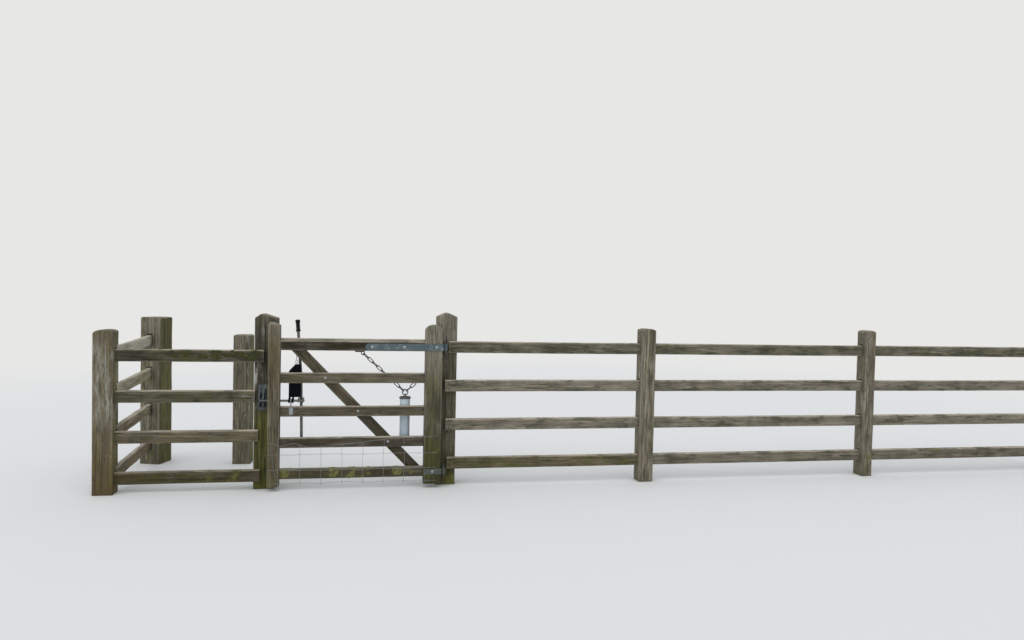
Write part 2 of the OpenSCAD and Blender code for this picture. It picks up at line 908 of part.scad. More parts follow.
// One chain link along X, in the XY plane, bent from round wire
module chain_link(pitch) {
    half = (pitch + link_wire + link_play) / 2;
    bend_r = (link_width - link_wire) / 2;
    straight = half - bend_r;
    for (side = [-1, 1]) {
        translate([-straight, side * bend_r, 0])
            rotate([0, 90, 0])
                cylinder(d = link_wire, h = 2 * straight);
        translate([side * straight, 0, 0])
            rotate([0, 0, -side * 90])
                rotate_extrude(angle = 180)
                    translate([bend_r, 0])
                        circle(d = link_wire);
    }
}

// Straight run of links from an eye to the ring, each link turned about a quarter against the last
module chain(start, end, links, roll, turn, eye_play, ring_play) {
    span = end - start;
    eye_reach = link_reach(eye_r, eye_wire, eye_play);
    ring_reach = link_reach(ring_r, ring_wire, ring_play);
    pitch = (norm(span) - eye_reach - ring_reach - link_wire - link_play) / links;
    half = (pitch + link_wire + link_play) / 2;
    translate(start)
        rotate([0, dip_of(span), yaw_of(span)])
            for (i = [0 : links - 1])
                translate([eye_reach + half + i * pitch, 0, 0])
                    rotate([roll + turn * i, 0, 0])
                        chain_link(pitch);
}

module leaf_chain() {
    color(black_iron)
        chain(leaf_eye, ring_centre, leaf_chain_links, leaf_chain_roll, leaf_chain_turn,
            leaf_eye_play, leaf_ring_play);
}

module post_chain() {
    color(black_iron)
        chain(post_chain_start, ring_centre, post_chain_links, post_chain_roll, post_chain_turn,
            link_play, post_ring_play);
}

module weight_ring() {
    color(black_iron)
        translate(ring_centre)
            rotate([90, 0, yaw_of(post_eye - leaf_eye)])
                wire_ring(ring_r, ring_wire);
}

// Lid with a turned-down edge and an eye that the ring passes through
module weight_lid() {
    lid_eye_z = ring_z - ring_r + ring_wire / 2 + eye_wire / 2 + link_play - lid_eye_r;
    crown_r = lid_d / 2 - 10;
    color(black_iron)
        translate([ring_x, ring_y, 0]) {
            translate([0, 0, weight_top])
                rotate_extrude()
                    polygon([
                        [0, 0], [lid_d / 2, 0], [lid_d / 2, lid_rim], [crown_r, lid_height], [0, lid_height]
                    ]);
            translate([0, 0, lid_eye_z])
                rotate([90, 0, 90])
                    wire_ring(lid_eye_r, eye_wire);
        }
}

module closer_weight() {
    edge = 6;
    r = weight_d / 2;
    color("lightsteelblue")
        translate([ring_x, ring_y, weight_top - weight_height])
            rotate_extrude()
                polygon([
                    [0, 0], [r - edge, 0], [r, edge], [r, weight_height], [0, weight_height]
                ]);
}

hanging_post();
clapping_post();
fence_post_near();
fence_post_middle();
fence_post_far();
pen_front_post();
pen_rear_left_post();
pen_rear_right_post();
fence_rails_near();
fence_rails_middle();
fence_rails_far();
pen_front_rails();
pen_side_rails();
top_hook();
bottom_hook();
latch_catch();
post_chain_eye();
slam_stile();
hanging_stile();
top_rail();
second_rail();
third_rail();
fourth_rail();
bottom_rail();
brace();
top_hinge_strap();
bottom_hinge_band();
chain_bracket();
latch_housing();
lever_bracket();
oval_plate();
wire_netting();
latch_lever();
lever_grip();
latch_bolt();
leaf_chain();
post_chain();
closer_weight();
weight_lid();
weight_ring();
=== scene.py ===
"""Riding gate with a railed pen and a post-and-rail fence: worn timber, ironwork, netting and studio."""
import math
import random
from types import SimpleNamespace

import bpy
from mathutils import Matrix, Vector, noise


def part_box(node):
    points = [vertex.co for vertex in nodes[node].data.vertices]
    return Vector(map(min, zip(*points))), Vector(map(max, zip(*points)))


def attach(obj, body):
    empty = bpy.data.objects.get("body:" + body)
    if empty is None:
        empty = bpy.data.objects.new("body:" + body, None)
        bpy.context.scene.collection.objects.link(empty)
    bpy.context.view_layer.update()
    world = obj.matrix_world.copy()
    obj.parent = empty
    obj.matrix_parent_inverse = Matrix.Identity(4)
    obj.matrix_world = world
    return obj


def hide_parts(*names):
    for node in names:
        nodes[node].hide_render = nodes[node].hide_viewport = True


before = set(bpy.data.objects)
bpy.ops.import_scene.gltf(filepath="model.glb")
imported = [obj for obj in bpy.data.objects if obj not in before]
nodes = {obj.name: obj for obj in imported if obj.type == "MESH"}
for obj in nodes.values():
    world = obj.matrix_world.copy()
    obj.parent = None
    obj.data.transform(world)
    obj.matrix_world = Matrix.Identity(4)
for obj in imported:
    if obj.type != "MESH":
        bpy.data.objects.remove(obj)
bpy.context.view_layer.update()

MM = 0.001
UP = Vector((0, 0, 1))
TO_FRONT = Vector((0, -1, 0))
TO_BACK = Vector((0, 1, 0))
TO_RIGHT = Vector((1, 0, 0))
ROOT = "posts_and_fence"
LEAF = "leaf"


def in_scene(name, data):
    """A new object of the scene."""
    made = bpy.data.objects.new(name, data)
    bpy.context.scene.collection.objects.link(made)
    return made


# Camera, from the photograph's fitted viewpoint

CAMERA_PLACE = Vector((-0.4806, -5.385, 1.3873))
CAMERA_YAW = math.radians(10.32)
CAMERA_PITCH = math.radians(1.58)
CAMERA_ROLL = 0.0213
CAMERA_LENS = 25.13
SENSOR_WIDTH = 36.0


def make_camera():
    ahead = Vector((
        math.sin(CAMERA_YAW) * math.cos(CAMERA_PITCH),
        math.cos(CAMERA_YAW) * math.cos(CAMERA_PITCH),
        -math.sin(CAMERA_PITCH)))
    level_right = Vector((math.cos(CAMERA_YAW), -math.sin(CAMERA_YAW), 0.0))
    level_up = level_right.cross(ahead)
    right = math.cos(CAMERA_ROLL) * level_right + math.sin(CAMERA_ROLL) * level_up
    up = math.cos(CAMERA_ROLL) * level_up - math.sin(CAMERA_ROLL) * level_right
    lens = bpy.data.cameras.new("photo_camera")
    lens.lens = CAMERA_LENS
    lens.sensor_width = SENSOR_WIDTH
    lens.clip_end = 200.0
    camera = in_scene("photo_camera", lens)
    turn = Matrix((right, up, -ahead)).transposed().to_4x4()
    camera.matrix_world = Matrix.Translation(CAMERA_PLACE) @ turn
    bpy.context.scene.camera = camera


# Shader arithmetic

class Value:
    """A shader socket that takes part in Python arithmetic."""

    def __init__(self, finish, socket):
        self.finish = finish
        self.socket = socket

    def __add__(self, other):
        return self.finish.math("ADD", self, other)

    def __sub__(self, other):
        return self.finish.math("SUBTRACT", self, other)

    def __rsub__(self, other):
        return self.finish.math("SUBTRACT", other, self)

    def __mul__(self, other):
        return self.finish.math("MULTIPLY", self, other)

    __radd__ = __add__
    __rmul__ = __mul__


class Finish:
    """A material, or a world, and the calls that wire its nodes."""

    def __init__(self, name, owner=None):
        self.owner = owner or bpy.data.materials.new(name)
        self.owner.use_nodes = True
        self.tree = self.owner.node_tree
        self.tree.nodes.clear()

    def node(self, kind, settings=None, inputs=None, output=0):
        """Adds a node: its settings first, then the values or links of its sockets."""
        made = self.tree.nodes.new("ShaderNode" + kind)
        for key, value in (settings or {}).items():
            setattr(made, key, value)
        for key, value in (inputs or {}).items():
            if isinstance(value, Value):
                self.tree.links.new(value.socket, made.inputs[key])
            else:
                made.inputs[key].default_value = value
        if isinstance(output, tuple):
            return [Value(self, made.outputs[i]) for i in output]
        return Value(self, made.outputs[output]) if len(made.outputs) else None

    def math(self, operation, first, second=0.0):
        return self.node("Math", {"operation": operation}, {0: first, 1: second})

    def largest(self, first, second):
        return self.math("MAXIMUM", first, second)

    def step(self, value, low, high):
        """0 below low, 1 above high, smooth between."""
        settings = {"interpolation_type": "SMOOTHSTEP", "clamp": True}
        return self.node("MapRange", settings, {"Value": value, "From Min": low, "From Max": high})

    def object_place(self):
        return self.node("TexCoord", output=3)

    def stored(self, name, output):
        """What each vertex of the mesh keeps under a name: output 1 as a vector, 2 as a number."""
        return self.node("Attribute", {"attribute_type": "GEOMETRY", "attribute_name": name}, output=output)

    def vectors(self, operation, first, second=(0.0, 0.0, 0.0), output=0):
        return self.node("VectorMath", {"operation": operation}, {0: first, 1: second}, output)

    def stretch(self, vector, factors):
        return self.vectors("MULTIPLY", vector, factors)

    def length(self, vector):
        return self.vectors("LENGTH", vector, output=1)

    def part(self, vector, axis):
        return self.node("SeparateXYZ", inputs={0: vector}, output=axis)

    def facing(self, direction):
        """How far the surface faces a direction of the closed gate, from -1 to 1."""
        return self.vectors("DOT_PRODUCT", self.node("TexCoord", output=1), direction, 1)

    def cloud(self, vector, scale, detail=3.0, roughness=0.55):
        inputs = {"Vector": vector, "Scale": scale, "Detail": detail, "Roughness": roughness}
        return self.node("TexNoise", {"normalize": True}, inputs)

    def streaks(self, vector, across, along, detail=3.0, roughness=0.55):
        """A cloud drawn out along Z."""
        return self.cloud(self.stretch(vector, (across, across, along)), 1.0, detail, roughness)

    def cells(self, vector, scale, output=0):
        return self.node("TexVoronoi", {"feature": "F1"}, {"Vector": vector, "Scale": scale}, output)

    def mix(self, factor, first, second, blend="MIX"):
        """A colour between first and second."""
        settings = {"data_type": "RGBA", "blend_type": blend, "clamp_factor": True}
        made = {0: factor, 6: first, 7: second}
        made = {key: (*value, 1.0) if isinstance(value, tuple) else value for key, value in made.items()}
        return self.node("Mix", settings, made, 2)

    def bump(self, height, distance):
        return self.node("Bump", inputs={"Height": height, "Distance": distance})

    def surface(self, colour, roughness, normal, metallic=0.0, specular=0.5):
        """Closes the material with one Principled shader."""
        shader = self.node("BsdfPrincipled", inputs={
            "Base Color": colour, "Roughness": roughness, "Normal": normal, "Metallic": metallic,
            "Specular IOR Level": specular})
        self.node("OutputMaterial", inputs={"Surface": shader})
        return self.owner


def shown(red, green, blue):
    """The surface colour that a display gives as red, green and blue out of 255."""
    return tuple((c / 255) ** 2.2 for c in (red, green, blue))


def scaled(colour, factor):
    return tuple(min(1.0, c * factor) for c in colour)


# Timber finishes

BLEACHED = shown(172, 163, 146)
MOSS_LIGHT = shown(110, 112, 56)
MOSS_DARK = shown(58, 62, 34)
FILM_LIGHT = shown(103, 102, 53)
FILM_DARK = shown(59, 60, 34)
LICHEN_PALE = shown(146, 149, 130)
CRUST_PALE = shown(164, 163, 151)
DARK_FOOT = shown(74, 64, 46)
BROWN_FOOT = shown(98, 79, 54)
MOTTLE_PALE = shown(158, 148, 134)
MOTTLE_DARK = shown(62, 63, 52)
RING_SPACING = 5 * MM

# How much of each sort of wear a timber has, from 0 to 1, unless its own line says otherwise. Heights are in
# metres above the ground. The bleaching goes on to the whole face between the two heights of pale_above, and
# the crust keeps between the heights of crust_band.
PLAIN_WEAR = {
    "bleach": 0.8, "pale_above": None, "mottle": 0.3,
    "damp": 0.3, "damp_height": 0.4, "foot_tone": DARK_FOOT,
    "film": 0.0, "film_low": 0.0, "film_side": None,
    "moss": 0.1, "low_moss": 0.2,
    "lichen": 0.0, "crust": 0.0, "crust_band": (0.0, 2.0),
}


def timber_figure(f):
    """The wood's own pattern along its grain, and where its surface lies on the gate."""
    grain = f.stored("grain", 1)
    gap, pick = f.cells(f.stretch(grain, (8.0, 8.0, 3.6)), 1.0, (0, 1))
    chosen = f.step(f.part(pick, 0), 0.80, 0.82)
    swirl = (1.0 - f.step(gap, 0.06, 0.40)) * chosen
    drift = f.streaks(grain, 9.0, 1.3)
    from_pith = f.length(f.stretch(grain, (1.0, 1.0, 0.0)))
    turns = (from_pith + drift * 0.028 + swirl * 0.02) * (2 * math.pi / RING_SPACING)
    fibre = f.streaks(grain, 420.0, 9.0, 5.0, 0.65)
    blotch = f.streaks(grain, 12.0, 2.6, 4.0, 0.6)
    vein = f.math("ABSOLUTE", f.streaks(grain, 150.0, 3.1, 2.0) - 0.5)
    place = f.object_place()
    return SimpleNamespace(
        grain=grain, place=place, height=f.part(place, 2), fibre=fibre, blotch=blotch,
        top=f.step(f.facing(UP), 0.2, 0.75),
        # edge: how worn each edge is; on rails it also holds the top band, partly a painted highlight.
        edge=f.stored("worn", 2),
        streak=f.streaks(grain, 62.0, 2.4, 5.0, 0.62),
        rings=f.math("SINE", turns) * 0.5 + 0.5,
        knot=(1.0 - f.step(gap, 0.08, 0.15)) * chosen,
        # crack: fine cracks, sunk by the bump and painted near-black as shade in their depth.
        crack=f.step(1.0 - vein * 2.0, 0.95, 0.99) * f.step(blotch, 0.36, 0.58),
        run=f.step(f.streaks(grain, 46.0, 1.0) + (fibre - 0.5) * 0.3, 0.59, 0.72))


def bare_wood(f, wood, tone):
    shade = wood.fibre * 0.30 + wood.streak * 0.62 + wood.rings * 0.16 - 0.05
    colour = f.mix(f.step(shade, 0.30, 0.72), scaled(tone, 0.40), scaled(tone, 1.75))
    colour = f.mix(wood.run * 0.5, colour, scaled(tone, 0.36))
    return f.mix(wood.knot * 0.8, colour, scaled(tone, 0.32))


def bleached(f, wood, wear, colour):
    """Greyed by sun and rain on upper faces and in blotches; palest on worn edges and along a rail's top, the
    last partly painted highlight.
    """
    streak, blotch = wood.streak, wood.blotch
    grey = f.mix(f.step(wood.fibre + streak * 0.5, 0.5, 0.95), scaled(BLEACHED, 0.5), BLEACHED)
    silver = f.step(blotch, 0.44, 0.66) * 0.3 + wood.edge * f.step(blotch, 0.22, 0.5) * 0.7
    weathered = f.largest(wood.top * f.step(streak, 0.12, 0.5), silver)
    if wear.pale_above:
        weathered = f.largest(weathered, f.step(wood.height, *wear.pale_above) * (0.4 + streak * 0.7))
    colour = f.mix(weathered * wear.bleach, colour, grey)
    # The pale band along a rail's top: partly real bleaching, partly a painted highlight.
    bleach_and_highlight_band = f.step(wood.edge, 0.30, 0.75) * (0.35 + streak * 0.8) * wear.bleach
    return f.mix(bleach_and_highlight_band, colour, scaled(BLEACHED, 1.35))


def mottled(f, wood, wear, colour):
    """Pale and dark patches, drawn out along the grain."""
    patches = f.streaks(wood.grain, 19.0, 5.5, 5.0, 0.62) + (wood.streak - 0.5) * 0.25
    colour = f.mix((1.0 - f.step(patches, 0.36, 0.50)) * (wear.mottle * 0.55), colour, MOTTLE_PALE)
    return f.mix(f.step(patches, 0.53, 0.64) * wear.mottle * (0.5 + wood.fibre), colour, MOTTLE_DARK)


def stained(f, wood, wear, tone, colour):
    """Dark stains, and a foot that the ground keeps damp."""
    stain = f.streaks(wood.place, 4.8, 2.08, 5.0, 0.6)
    colour = f.mix(f.step(stain, 0.48, 0.72) * 0.5, colour, scaled(tone, 0.4))
    foot = f.step(wear.damp_height - wood.height + (stain - 0.5) * 0.5, 0.0, 0.4) * wear.damp
    return f.mix(foot * (0.55 + wood.streak * 0.6), colour, wear.foot_tone)


def crusted(f, wood, wear, colour):
    """A thin pale crust of lichen over a band of heights."""
    low, high = wear.crust_band
    pale = f.streaks(wood.grain, 22.0, 5.0, 7.0, 0.72) + (wood.fibre - 0.5) * 0.35
    inside = f.step(wood.height, low, low + 0.2) * (1.0 - f.step(wood.height, high - 0.2, high))
    crust = f.step(pale, 0.62 - wear.crust * 0.22, 0.72 - wear.crust * 0.16) * inside
    return f.mix(crust * (0.3 + wood.streak), colour, CRUST_PALE)


def filmed(f, wood, wear, colour):
    """A green film of algae, thicker low down and on the side away from the sun."""
    low_down = 1.0 - f.step(wood.height, 0.05, 0.95)
    wet = f.streaks(wood.place, 6.0, 2.4, 5.0, 0.62) + low_down * (wear.film_low * 0.45)
    if wear.film_side:
        wet = wet + f.step(f.facing(wear.film_side), 0.3, 0.8) * 0.5
    slimy = f.step(wet - 0.56, -0.08, 0.2) * wear.film
    slime = f.mix(f.step(wood.streak, 0.35, 0.62), FILM_DARK, FILM_LIGHT)
    return f.mix(slimy * (1.0 - wood.top * 0.7), colour, slime)


def mossed(f, wood, wear, colour):
    """Patches of moss, with their cover and the tufts that stand up in them."""
    patch = f.cloud(wood.place, 7.0, 5.0, 0.6)
    tuft = f.cloud(wood.place, 190.0, 3.0, 0.7)
    low_patch = f.step(0.5 - wood.height, 0.0, 0.45) * wear.low_moss
    reach = 0.70 - (f.largest(wood.top * 0.7, 0.35) * wear.moss + low_patch) * 0.36
    cover = f.step(patch + (tuft - 0.5) * 0.12 - reach, -0.02, 0.1)
    green = f.mix(f.step(patch * 0.5 + tuft * 0.5, 0.38, 0.62), MOSS_DARK, MOSS_LIGHT)
    return f.mix(cover * 0.8, colour, green), cover, tuft


def lichened(f, wood, wear, colour):
    """Round scabs of lichen in colonies, with their cover."""
    place = wood.place
    spot, pick = f.cells(place, 24.0, (0, 1))
    ragged = spot + (f.cloud(place, 240.0, 3.0, 0.7) - 0.5) * 0.35 + (f.cloud(place, 55.0) - 0.5) * 0.7
    colony = f.step(f.cloud(place, 4.5), 0.66 - wear.lichen * 0.22, 0.74 - wear.lichen * 0.22)
    scab = f.step(f.part(pick, 1) * 0.34 - ragged, -0.02, 0.09) * colony
    return f.mix(scab * 0.6, colour, LICHEN_PALE), scab


def timber_finish(name, tone, **own_wear):
    """Weathered sawn timber: its figure, and what sun, rain and growth have laid over it."""
    f = Finish(name)
    wear = SimpleNamespace(**{**PLAIN_WEAR, **own_wear})
    wood = timber_figure(f)
    colour = bleached(f, wood, wear, bare_wood(f, wood, tone))
    colour = mottled(f, wood, wear, colour)
    colour = stained(f, wood, wear, tone, colour)
    if wear.crust:
        colour = crusted(f, wood, wear, colour)
    if wear.film:
        colour = filmed(f, wood, wear, colour)
    colour, moss, tuft = mossed(f, wood, wear, colour)
    relief = wood.fibre * 0.35 + wood.streak * 0.4 + wood.rings * 0.2 - wood.crack * 0.9
    relief = relief + moss * (tuft * 1.1 + 0.4)
    if wear.lichen:
        colour, scab = lichened(f, wood, wear, colour)
        relief = relief + scab * 0.5
    # Painted shade: the fine cracks are darkened almost to black.
    colour = f.mix(wood.crack * 0.85, colour, scaled(tone, 0.12))
    roughness = 0.80 + wood.fibre * 0.12 + moss * 0.06
    return f.surface(colour, roughness, f.bump(relief, 1.4 * MM), specular=0.25)


# The tone that each timber shows, and its own wear
TIMBERS = {
    "stile": ((89, 81, 60), dict(
        bleach=0.75, pale_above=(1.0, 1.2), mottle=0.15, damp=0.5, damp_height=0.3,
        foot_tone=shown(118, 112, 84))),
    "hanging_stile": ((82, 79, 64), dict(
        bleach=0.75, pale_above=(0.62, 0.98), damp=1.0, damp_height=0.6, foot_tone=shown(50, 52, 36),
        film=0.5, film_low=0.45, low_moss=0.4, lichen=0.1)),
    "top_rail": ((54, 49, 36), dict(bleach=0.88, mottle=0.0)),
    "second_rail": ((99, 93, 75), {}),
    "third_rail": ((87, 80, 65), {}),
    "fourth_rail": ((71, 64, 53), {}),
    "bottom_rail": ((74, 69, 57), dict(bleach=0.45, film=0.25, film_low=0.3, moss=0.2)),
    "brace": ((85, 78, 62), dict(
        bleach=0.6, damp=0.8, damp_height=0.8, foot_tone=shown(57, 52, 45), film=0.2, film_low=0.3)),
    "hanging_post": ((87, 83, 69), dict(
        bleach=0.9, pale_above=(0.9, 1.12), film=0.35, film_low=0.5, moss=0.2, low_moss=0.4, lichen=0.2)),
    "clapping_post": ((79, 76, 61), dict(
        bleach=0.65, film=0.85, film_low=0.9, moss=0.5, low_moss=0.6, lichen=0.2, crust=0.3)),
    "upper_fence_rail": ((98, 96, 80), dict(mottle=0.65, film=0.4, moss=0.3, lichen=0.1)),
    "fence_rail": ((122, 116, 101), dict(bleach=0.95, mottle=0.65, moss=0.2, lichen=0.2, crust=0.1)),
    "lower_fence_rail": ((105, 98, 74), dict(
        bleach=0.85, mottle=0.5, film=0.3, film_low=0.3, moss=0.2, low_moss=0.3)),
    "fence_post": ((121, 114, 97), dict(
        mottle=0.45, film=0.4, film_side=TO_RIGHT, moss=0.2, low_moss=0.3, lichen=0.4, crust=0.25)),
    "dark_pen_rail": ((60, 59, 47), dict(bleach=0.75, mottle=0.25, film=0.6, film_low=0.4, moss=0.5)),
    "green_pen_rail": ((80, 79, 62), dict(
        bleach=0.85, film=0.7, film_low=0.3, moss=0.3, lichen=0.3, crust=0.15)),
    "pale_pen_rail": ((104, 96, 76), dict(film=0.2)),
    "low_pen_rail": ((67, 59, 42), dict(bleach=0.6, film=0.3, film_low=0.2, moss=0.3)),
    "white_side_rail": ((180, 173, 154), dict(bleach=1.0, low_moss=0.1, lichen=0.3, crust=0.8)),
    "pale_side_rail": ((162, 154, 124), dict(bleach=1.0, low_moss=0.1, lichen=0.2, crust=0.4)),
    "tan_side_rail": ((124, 112, 86), dict(bleach=1.0, lichen=0.1, crust=0.3)),
    "pen_front_post": ((112, 102, 82), dict(
        damp=0.95, foot_tone=BROWN_FOOT, film=0.4, film_low=0.25, film_side=TO_RIGHT, lichen=0.3, crust=0.72,
        crust_band=(0.42, 1.12))),
    "pen_rear_post": ((120, 114, 97), dict(
        film=0.75, film_side=TO_RIGHT, low_moss=0.3, lichen=0.2, crust=0.3)),
}


def moss_finish(name, tips, hollows):
    """Cushion moss: bright tips and dark hollows, the hollows' darkness partly painted shade."""
    f = Finish(name)
    place = f.object_place()
    tip = f.cloud(place, 320.0, 4.0, 0.7)
    clump = f.cloud(place, 60.0)
    # Colour follows the bump: the low places are darker, partly painted shade.
    colour = f.mix(f.step(tip * 0.6 + clump * 0.4, 0.36, 0.66), hollows, tips)
    return f.surface(colour, 0.9, f.bump(tip + clump * 0.5, 2.0 * MM), specular=0.15)


# Iron, paint and plastic finishes

RUST_LIGHT = (0.15, 0.065, 0.028)
RUST_DARK = (0.05, 0.026, 0.016)
ZINC_BLOOM = (0.30, 0.315, 0.32)
ZINC_SCRATCH = (0.42, 0.44, 0.45)
BLACK_PAINT = (0.0012, 0.002, 0.005)
PAINT_DUST = (0.012, 0.013, 0.018)
PAINT_CHIP = (0.12, 0.115, 0.11)
GRIP_BLACK = (0.006, 0.006, 0.006)
GRIP_GREY = (0.03, 0.03, 0.028)


def galvanised_finish(name, tint, rust, dull):
    """Hot-dipped zinc: spangle, dull bloom, scratches and a little rust."""
    f = Finish(name)
    place = f.object_place()
    spangle = f.part(f.cells(place, 160.0, 1), 0)
    bloom = f.cloud(place, 22.0, 5.0, 0.6)
    speck = f.cloud(place, 420.0, 3.0, 0.7)
    scratch = f.cloud(f.stretch(place, (60.0, 400.0, 420.0)), 1.0)
    shade = 0.78 + spangle * 0.16 + (bloom - 0.5) * 0.3 * dull
    zinc = f.mix(1.0, tint, f.node("CombineColor", inputs={0: shade, 1: shade, 2: shade}), "MULTIPLY")
    zinc = f.mix(f.step(bloom + (speck - 0.5) * 0.3, 0.52, 0.72) * dull, zinc, ZINC_BLOOM)
    zinc = f.mix(f.step(scratch, 0.63, 0.72) * 0.35, zinc, ZINC_SCRATCH)
    rot = f.step(f.cloud(place, 30.0, 4.0) + (speck - 0.5) * 0.35, 0.72 - rust * 0.25, 0.82 - rust * 0.25)
    colour = f.mix(rot, zinc, f.mix(speck, RUST_DARK, RUST_LIGHT))
    relief = bloom * 0.4 + speck * 0.35 + spangle * 0.15 + rot * speck * 1.2
    roughness = 0.46 + bloom * 0.22 + rot * 0.3
    return f.surface(colour, roughness, f.bump(relief, 0.25 * MM), 0.55 - rot * 0.5)


def rusted_iron_finish(name, base, rust):
    """Dark chain iron with rust in its hollows."""
    f = Finish(name)
    place = f.object_place()
    cover = f.cloud(place, 45.0, 4.0, 0.6)
    speck = f.cloud(place, 500.0, 3.0, 0.7)
    rot = f.step(cover + (speck - 0.5) * 0.4, 0.62 - rust * 0.3, 0.78 - rust * 0.3)
    colour = f.mix(rot, base, f.mix(speck, RUST_DARK, RUST_LIGHT))
    return f.surface(colour, 0.5 + rot * 0.35, f.bump(speck * 0.7 + cover * 0.4, 0.3 * MM), 0.5 - rot * 0.45)


def black_paint_finish(name):
    """Black painted steel with dust and chips."""
    f = Finish(name)
    place = f.object_place()
    dust = f.cloud(place, 28.0, 5.0, 0.6)
    speck = f.cloud(place, 380.0, 3.0, 0.7)
    chip = f.step(f.cloud(place, 70.0) + (speck - 0.5) * 0.25, 0.70, 0.74)
    colour = f.mix(f.step(dust, 0.45, 0.8) * 0.35, BLACK_PAINT, PAINT_DUST)
    colour = f.mix(chip, colour, PAINT_CHIP)
    return f.surface(colour, 0.34 + dust * 0.3, f.bump(speck * 0.4 - chip * 0.8, 0.2 * MM), specular=0.06)


def pale_paint_finish(name, paint, grimy):
    """Pale paint with runs of dirt and scuffs, and a painted highlight over the upper part of the closer's
    weight.
    """
    f = Finish(name)
    place = f.object_place()
    runs = f.streaks(place, 60.0, 3.0, 4.0, 0.6)
    dirt = f.cloud(place, 26.0, 5.0, 0.6)
    speck = f.cloud(place, 420.0, 3.0, 0.7)
    scuff = f.step(f.cloud(place, 55.0) + (speck - 0.5) * 0.3, 0.70, 0.76)
    colour = f.mix(f.step(runs, 0.48, 0.78) * 0.6, paint, grimy)
    colour = f.mix(f.step(dirt, 0.55, 0.8) * 0.4, colour, scaled(grimy, 0.6))
    colour = f.mix(scuff * 0.8, colour, scaled(paint, 1.2))
    # Painted highlight: the paint is lightened above half a metre, over the upper part of the closer's
    # weight.
    colour = f.mix(f.step(f.part(place, 2), 0.50, 0.62) * 0.6, colour, scaled(paint, 1.65), "LIGHTEN")
    relief = speck * 0.35 + dirt * 0.5 - scuff * 0.4
    return f.surface(colour, 0.36 + dirt * 0.3, f.bump(relief, 0.25 * MM))


def grip_finish(name):
    """Moulded black grip, finely grained and greyed where it is held."""
    f = Finish(name)
    place = f.object_place()
    worn = f.cloud(place, 40.0, 4.0)
    colour = f.mix(f.step(worn, 0.4, 0.75), GRIP_BLACK, GRIP_GREY)
    normal = f.bump(f.cells(place, 900.0) * 0.6 + worn * 0.3, 0.2 * MM)
    return f.surface(colour, 0.5 + worn * 0.25, normal, specular=0.12)


FINISHES = {}
for kind, (tone, wear) in TIMBERS.items():
    FINISHES[kind] = timber_finish(kind + "_timber", shown(*tone), **wear)
FINISHES.update({
    "moss": moss_finish("cushion_moss", shown(136, 134, 84), shown(80, 77, 49)),
    "dark_moss": moss_finish("shaded_moss", shown(84, 86, 52), shown(46, 48, 34)),
    "strap": galvanised_finish("strap_zinc", (0.108, 0.150, 0.162), 0.05, 0.5),
    "blued_galvanised": galvanised_finish("catch_zinc", (0.10, 0.12, 0.125), 0.3, 0.7),
    "old_galvanised": galvanised_finish("old_zinc", (0.105, 0.115, 0.098), 0.35, 0.5),
    "lever": galvanised_finish("lever_zinc", (0.15, 0.148, 0.14), 0.2, 0.6),
    "pale_steel": galvanised_finish("pale_zinc", (0.36, 0.39, 0.40), 0.05, 0.4),
    "wire": galvanised_finish("netting_wire", (0.30, 0.31, 0.31), 0.25, 0.5),
    "rusty_nails": rusted_iron_finish("nail_iron", (0.055, 0.045, 0.04), 0.1),
    "chain": rusted_iron_finish("chain_iron", (0.10, 0.103, 0.108), 0.35),
    "lid": rusted_iron_finish("lid_iron", (0.10, 0.095, 0.09), 0.3),
    "dark_iron": rusted_iron_finish("dark_iron", (0.05, 0.05, 0.052), 0.2),
    "black_paint": black_paint_finish("black_paint"),
    "weight": pale_paint_finish("weight_paint", (0.42, 0.50, 0.55), (0.25, 0.29, 0.29)),
    "white_knob": pale_paint_finish("white_knob", shown(225, 225, 218), shown(170, 170, 160)),
    "grip": grip_finish("grip_plastic"),
})


def dress(obj, finish):
    """Gives an object one finish in place of whatever it had."""
    obj.data.materials.clear()
    obj.data.materials.append(FINISHES[finish])


# Boxes of the frame's solids

class Box:
    """The upright box round a solid."""

    def __init__(self, low, high):
        self.low = low
        self.high = high
        self.middle = (low + high) / 2
        self.size = high - low

    def inset(self, gaps):
        """A point set in by gaps in mm, from a low face where a gap is above 0, or else from a high one."""
        sides = zip(self.low, self.high, gaps)
        return Vector([low + gap * MM if gap > 0 else high + gap * MM for low, high, gap in sides])

    def middle_line(self, left, right):
        """The line along the middle of a level rail."""
        return Vector((left, self.middle.y, self.middle.z)), Vector((right, self.middle.y, self.middle.z))


def node_box(node):
    return Box(*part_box(node))


def points_box(points):
    low = Vector([min(p[i] for p in points) for i in range(3)])
    return Box(low, Vector([max(p[i] for p in points) for i in range(3)]))


def islands(node):
    """Point lists of the separate solids in a CAD node, the highest first."""
    mesh = nodes[node].data
    parent = list(range(len(mesh.vertices)))

    def root(i):
        while parent[i] != i:
            parent[i] = parent[parent[i]]
            i = parent[i]
        return i

    seen = {}
    for vertex in mesh.vertices:
        key = tuple(round(c, 5) for c in vertex.co)
        parent[root(vertex.index)] = root(seen.setdefault(key, vertex.index))
    for edge in mesh.edges:
        parent[root(edge.vertices[0])] = root(edge.vertices[1])
    groups = {}
    for vertex in mesh.vertices:
        groups.setdefault(root(vertex.index), []).append(vertex.co.copy())
    return sorted(groups.values(), key=lambda points: -max(p.z for p in points))


# Shapes, each a pair of vertices and faces

BOX_FACES = ((0, 2, 3, 1), (4, 5, 7, 6), (0, 1, 5, 4), (2, 6, 7, 3), (0, 4, 6, 2), (1, 3, 7, 5))


def box_shape(low, high):
    ends = (low, high)
    vertices = [Vector((ends[i & 1][0], ends[i >> 1 & 1][1], ends[i >> 2][2])) for i in range(8)]
    return vertices, BOX_FACES


def ring_faces(rings, sides, first=0):
    """Quads that join each ring of vertices to the next."""
    faces = []
    for start in range(first, first + (rings - 1) * sides, sides):
        for k in range(sides):
            j = (k + 1) % sides
            faces.append((start + k, start + j, start + sides + j, start + sides + k))
    return faces


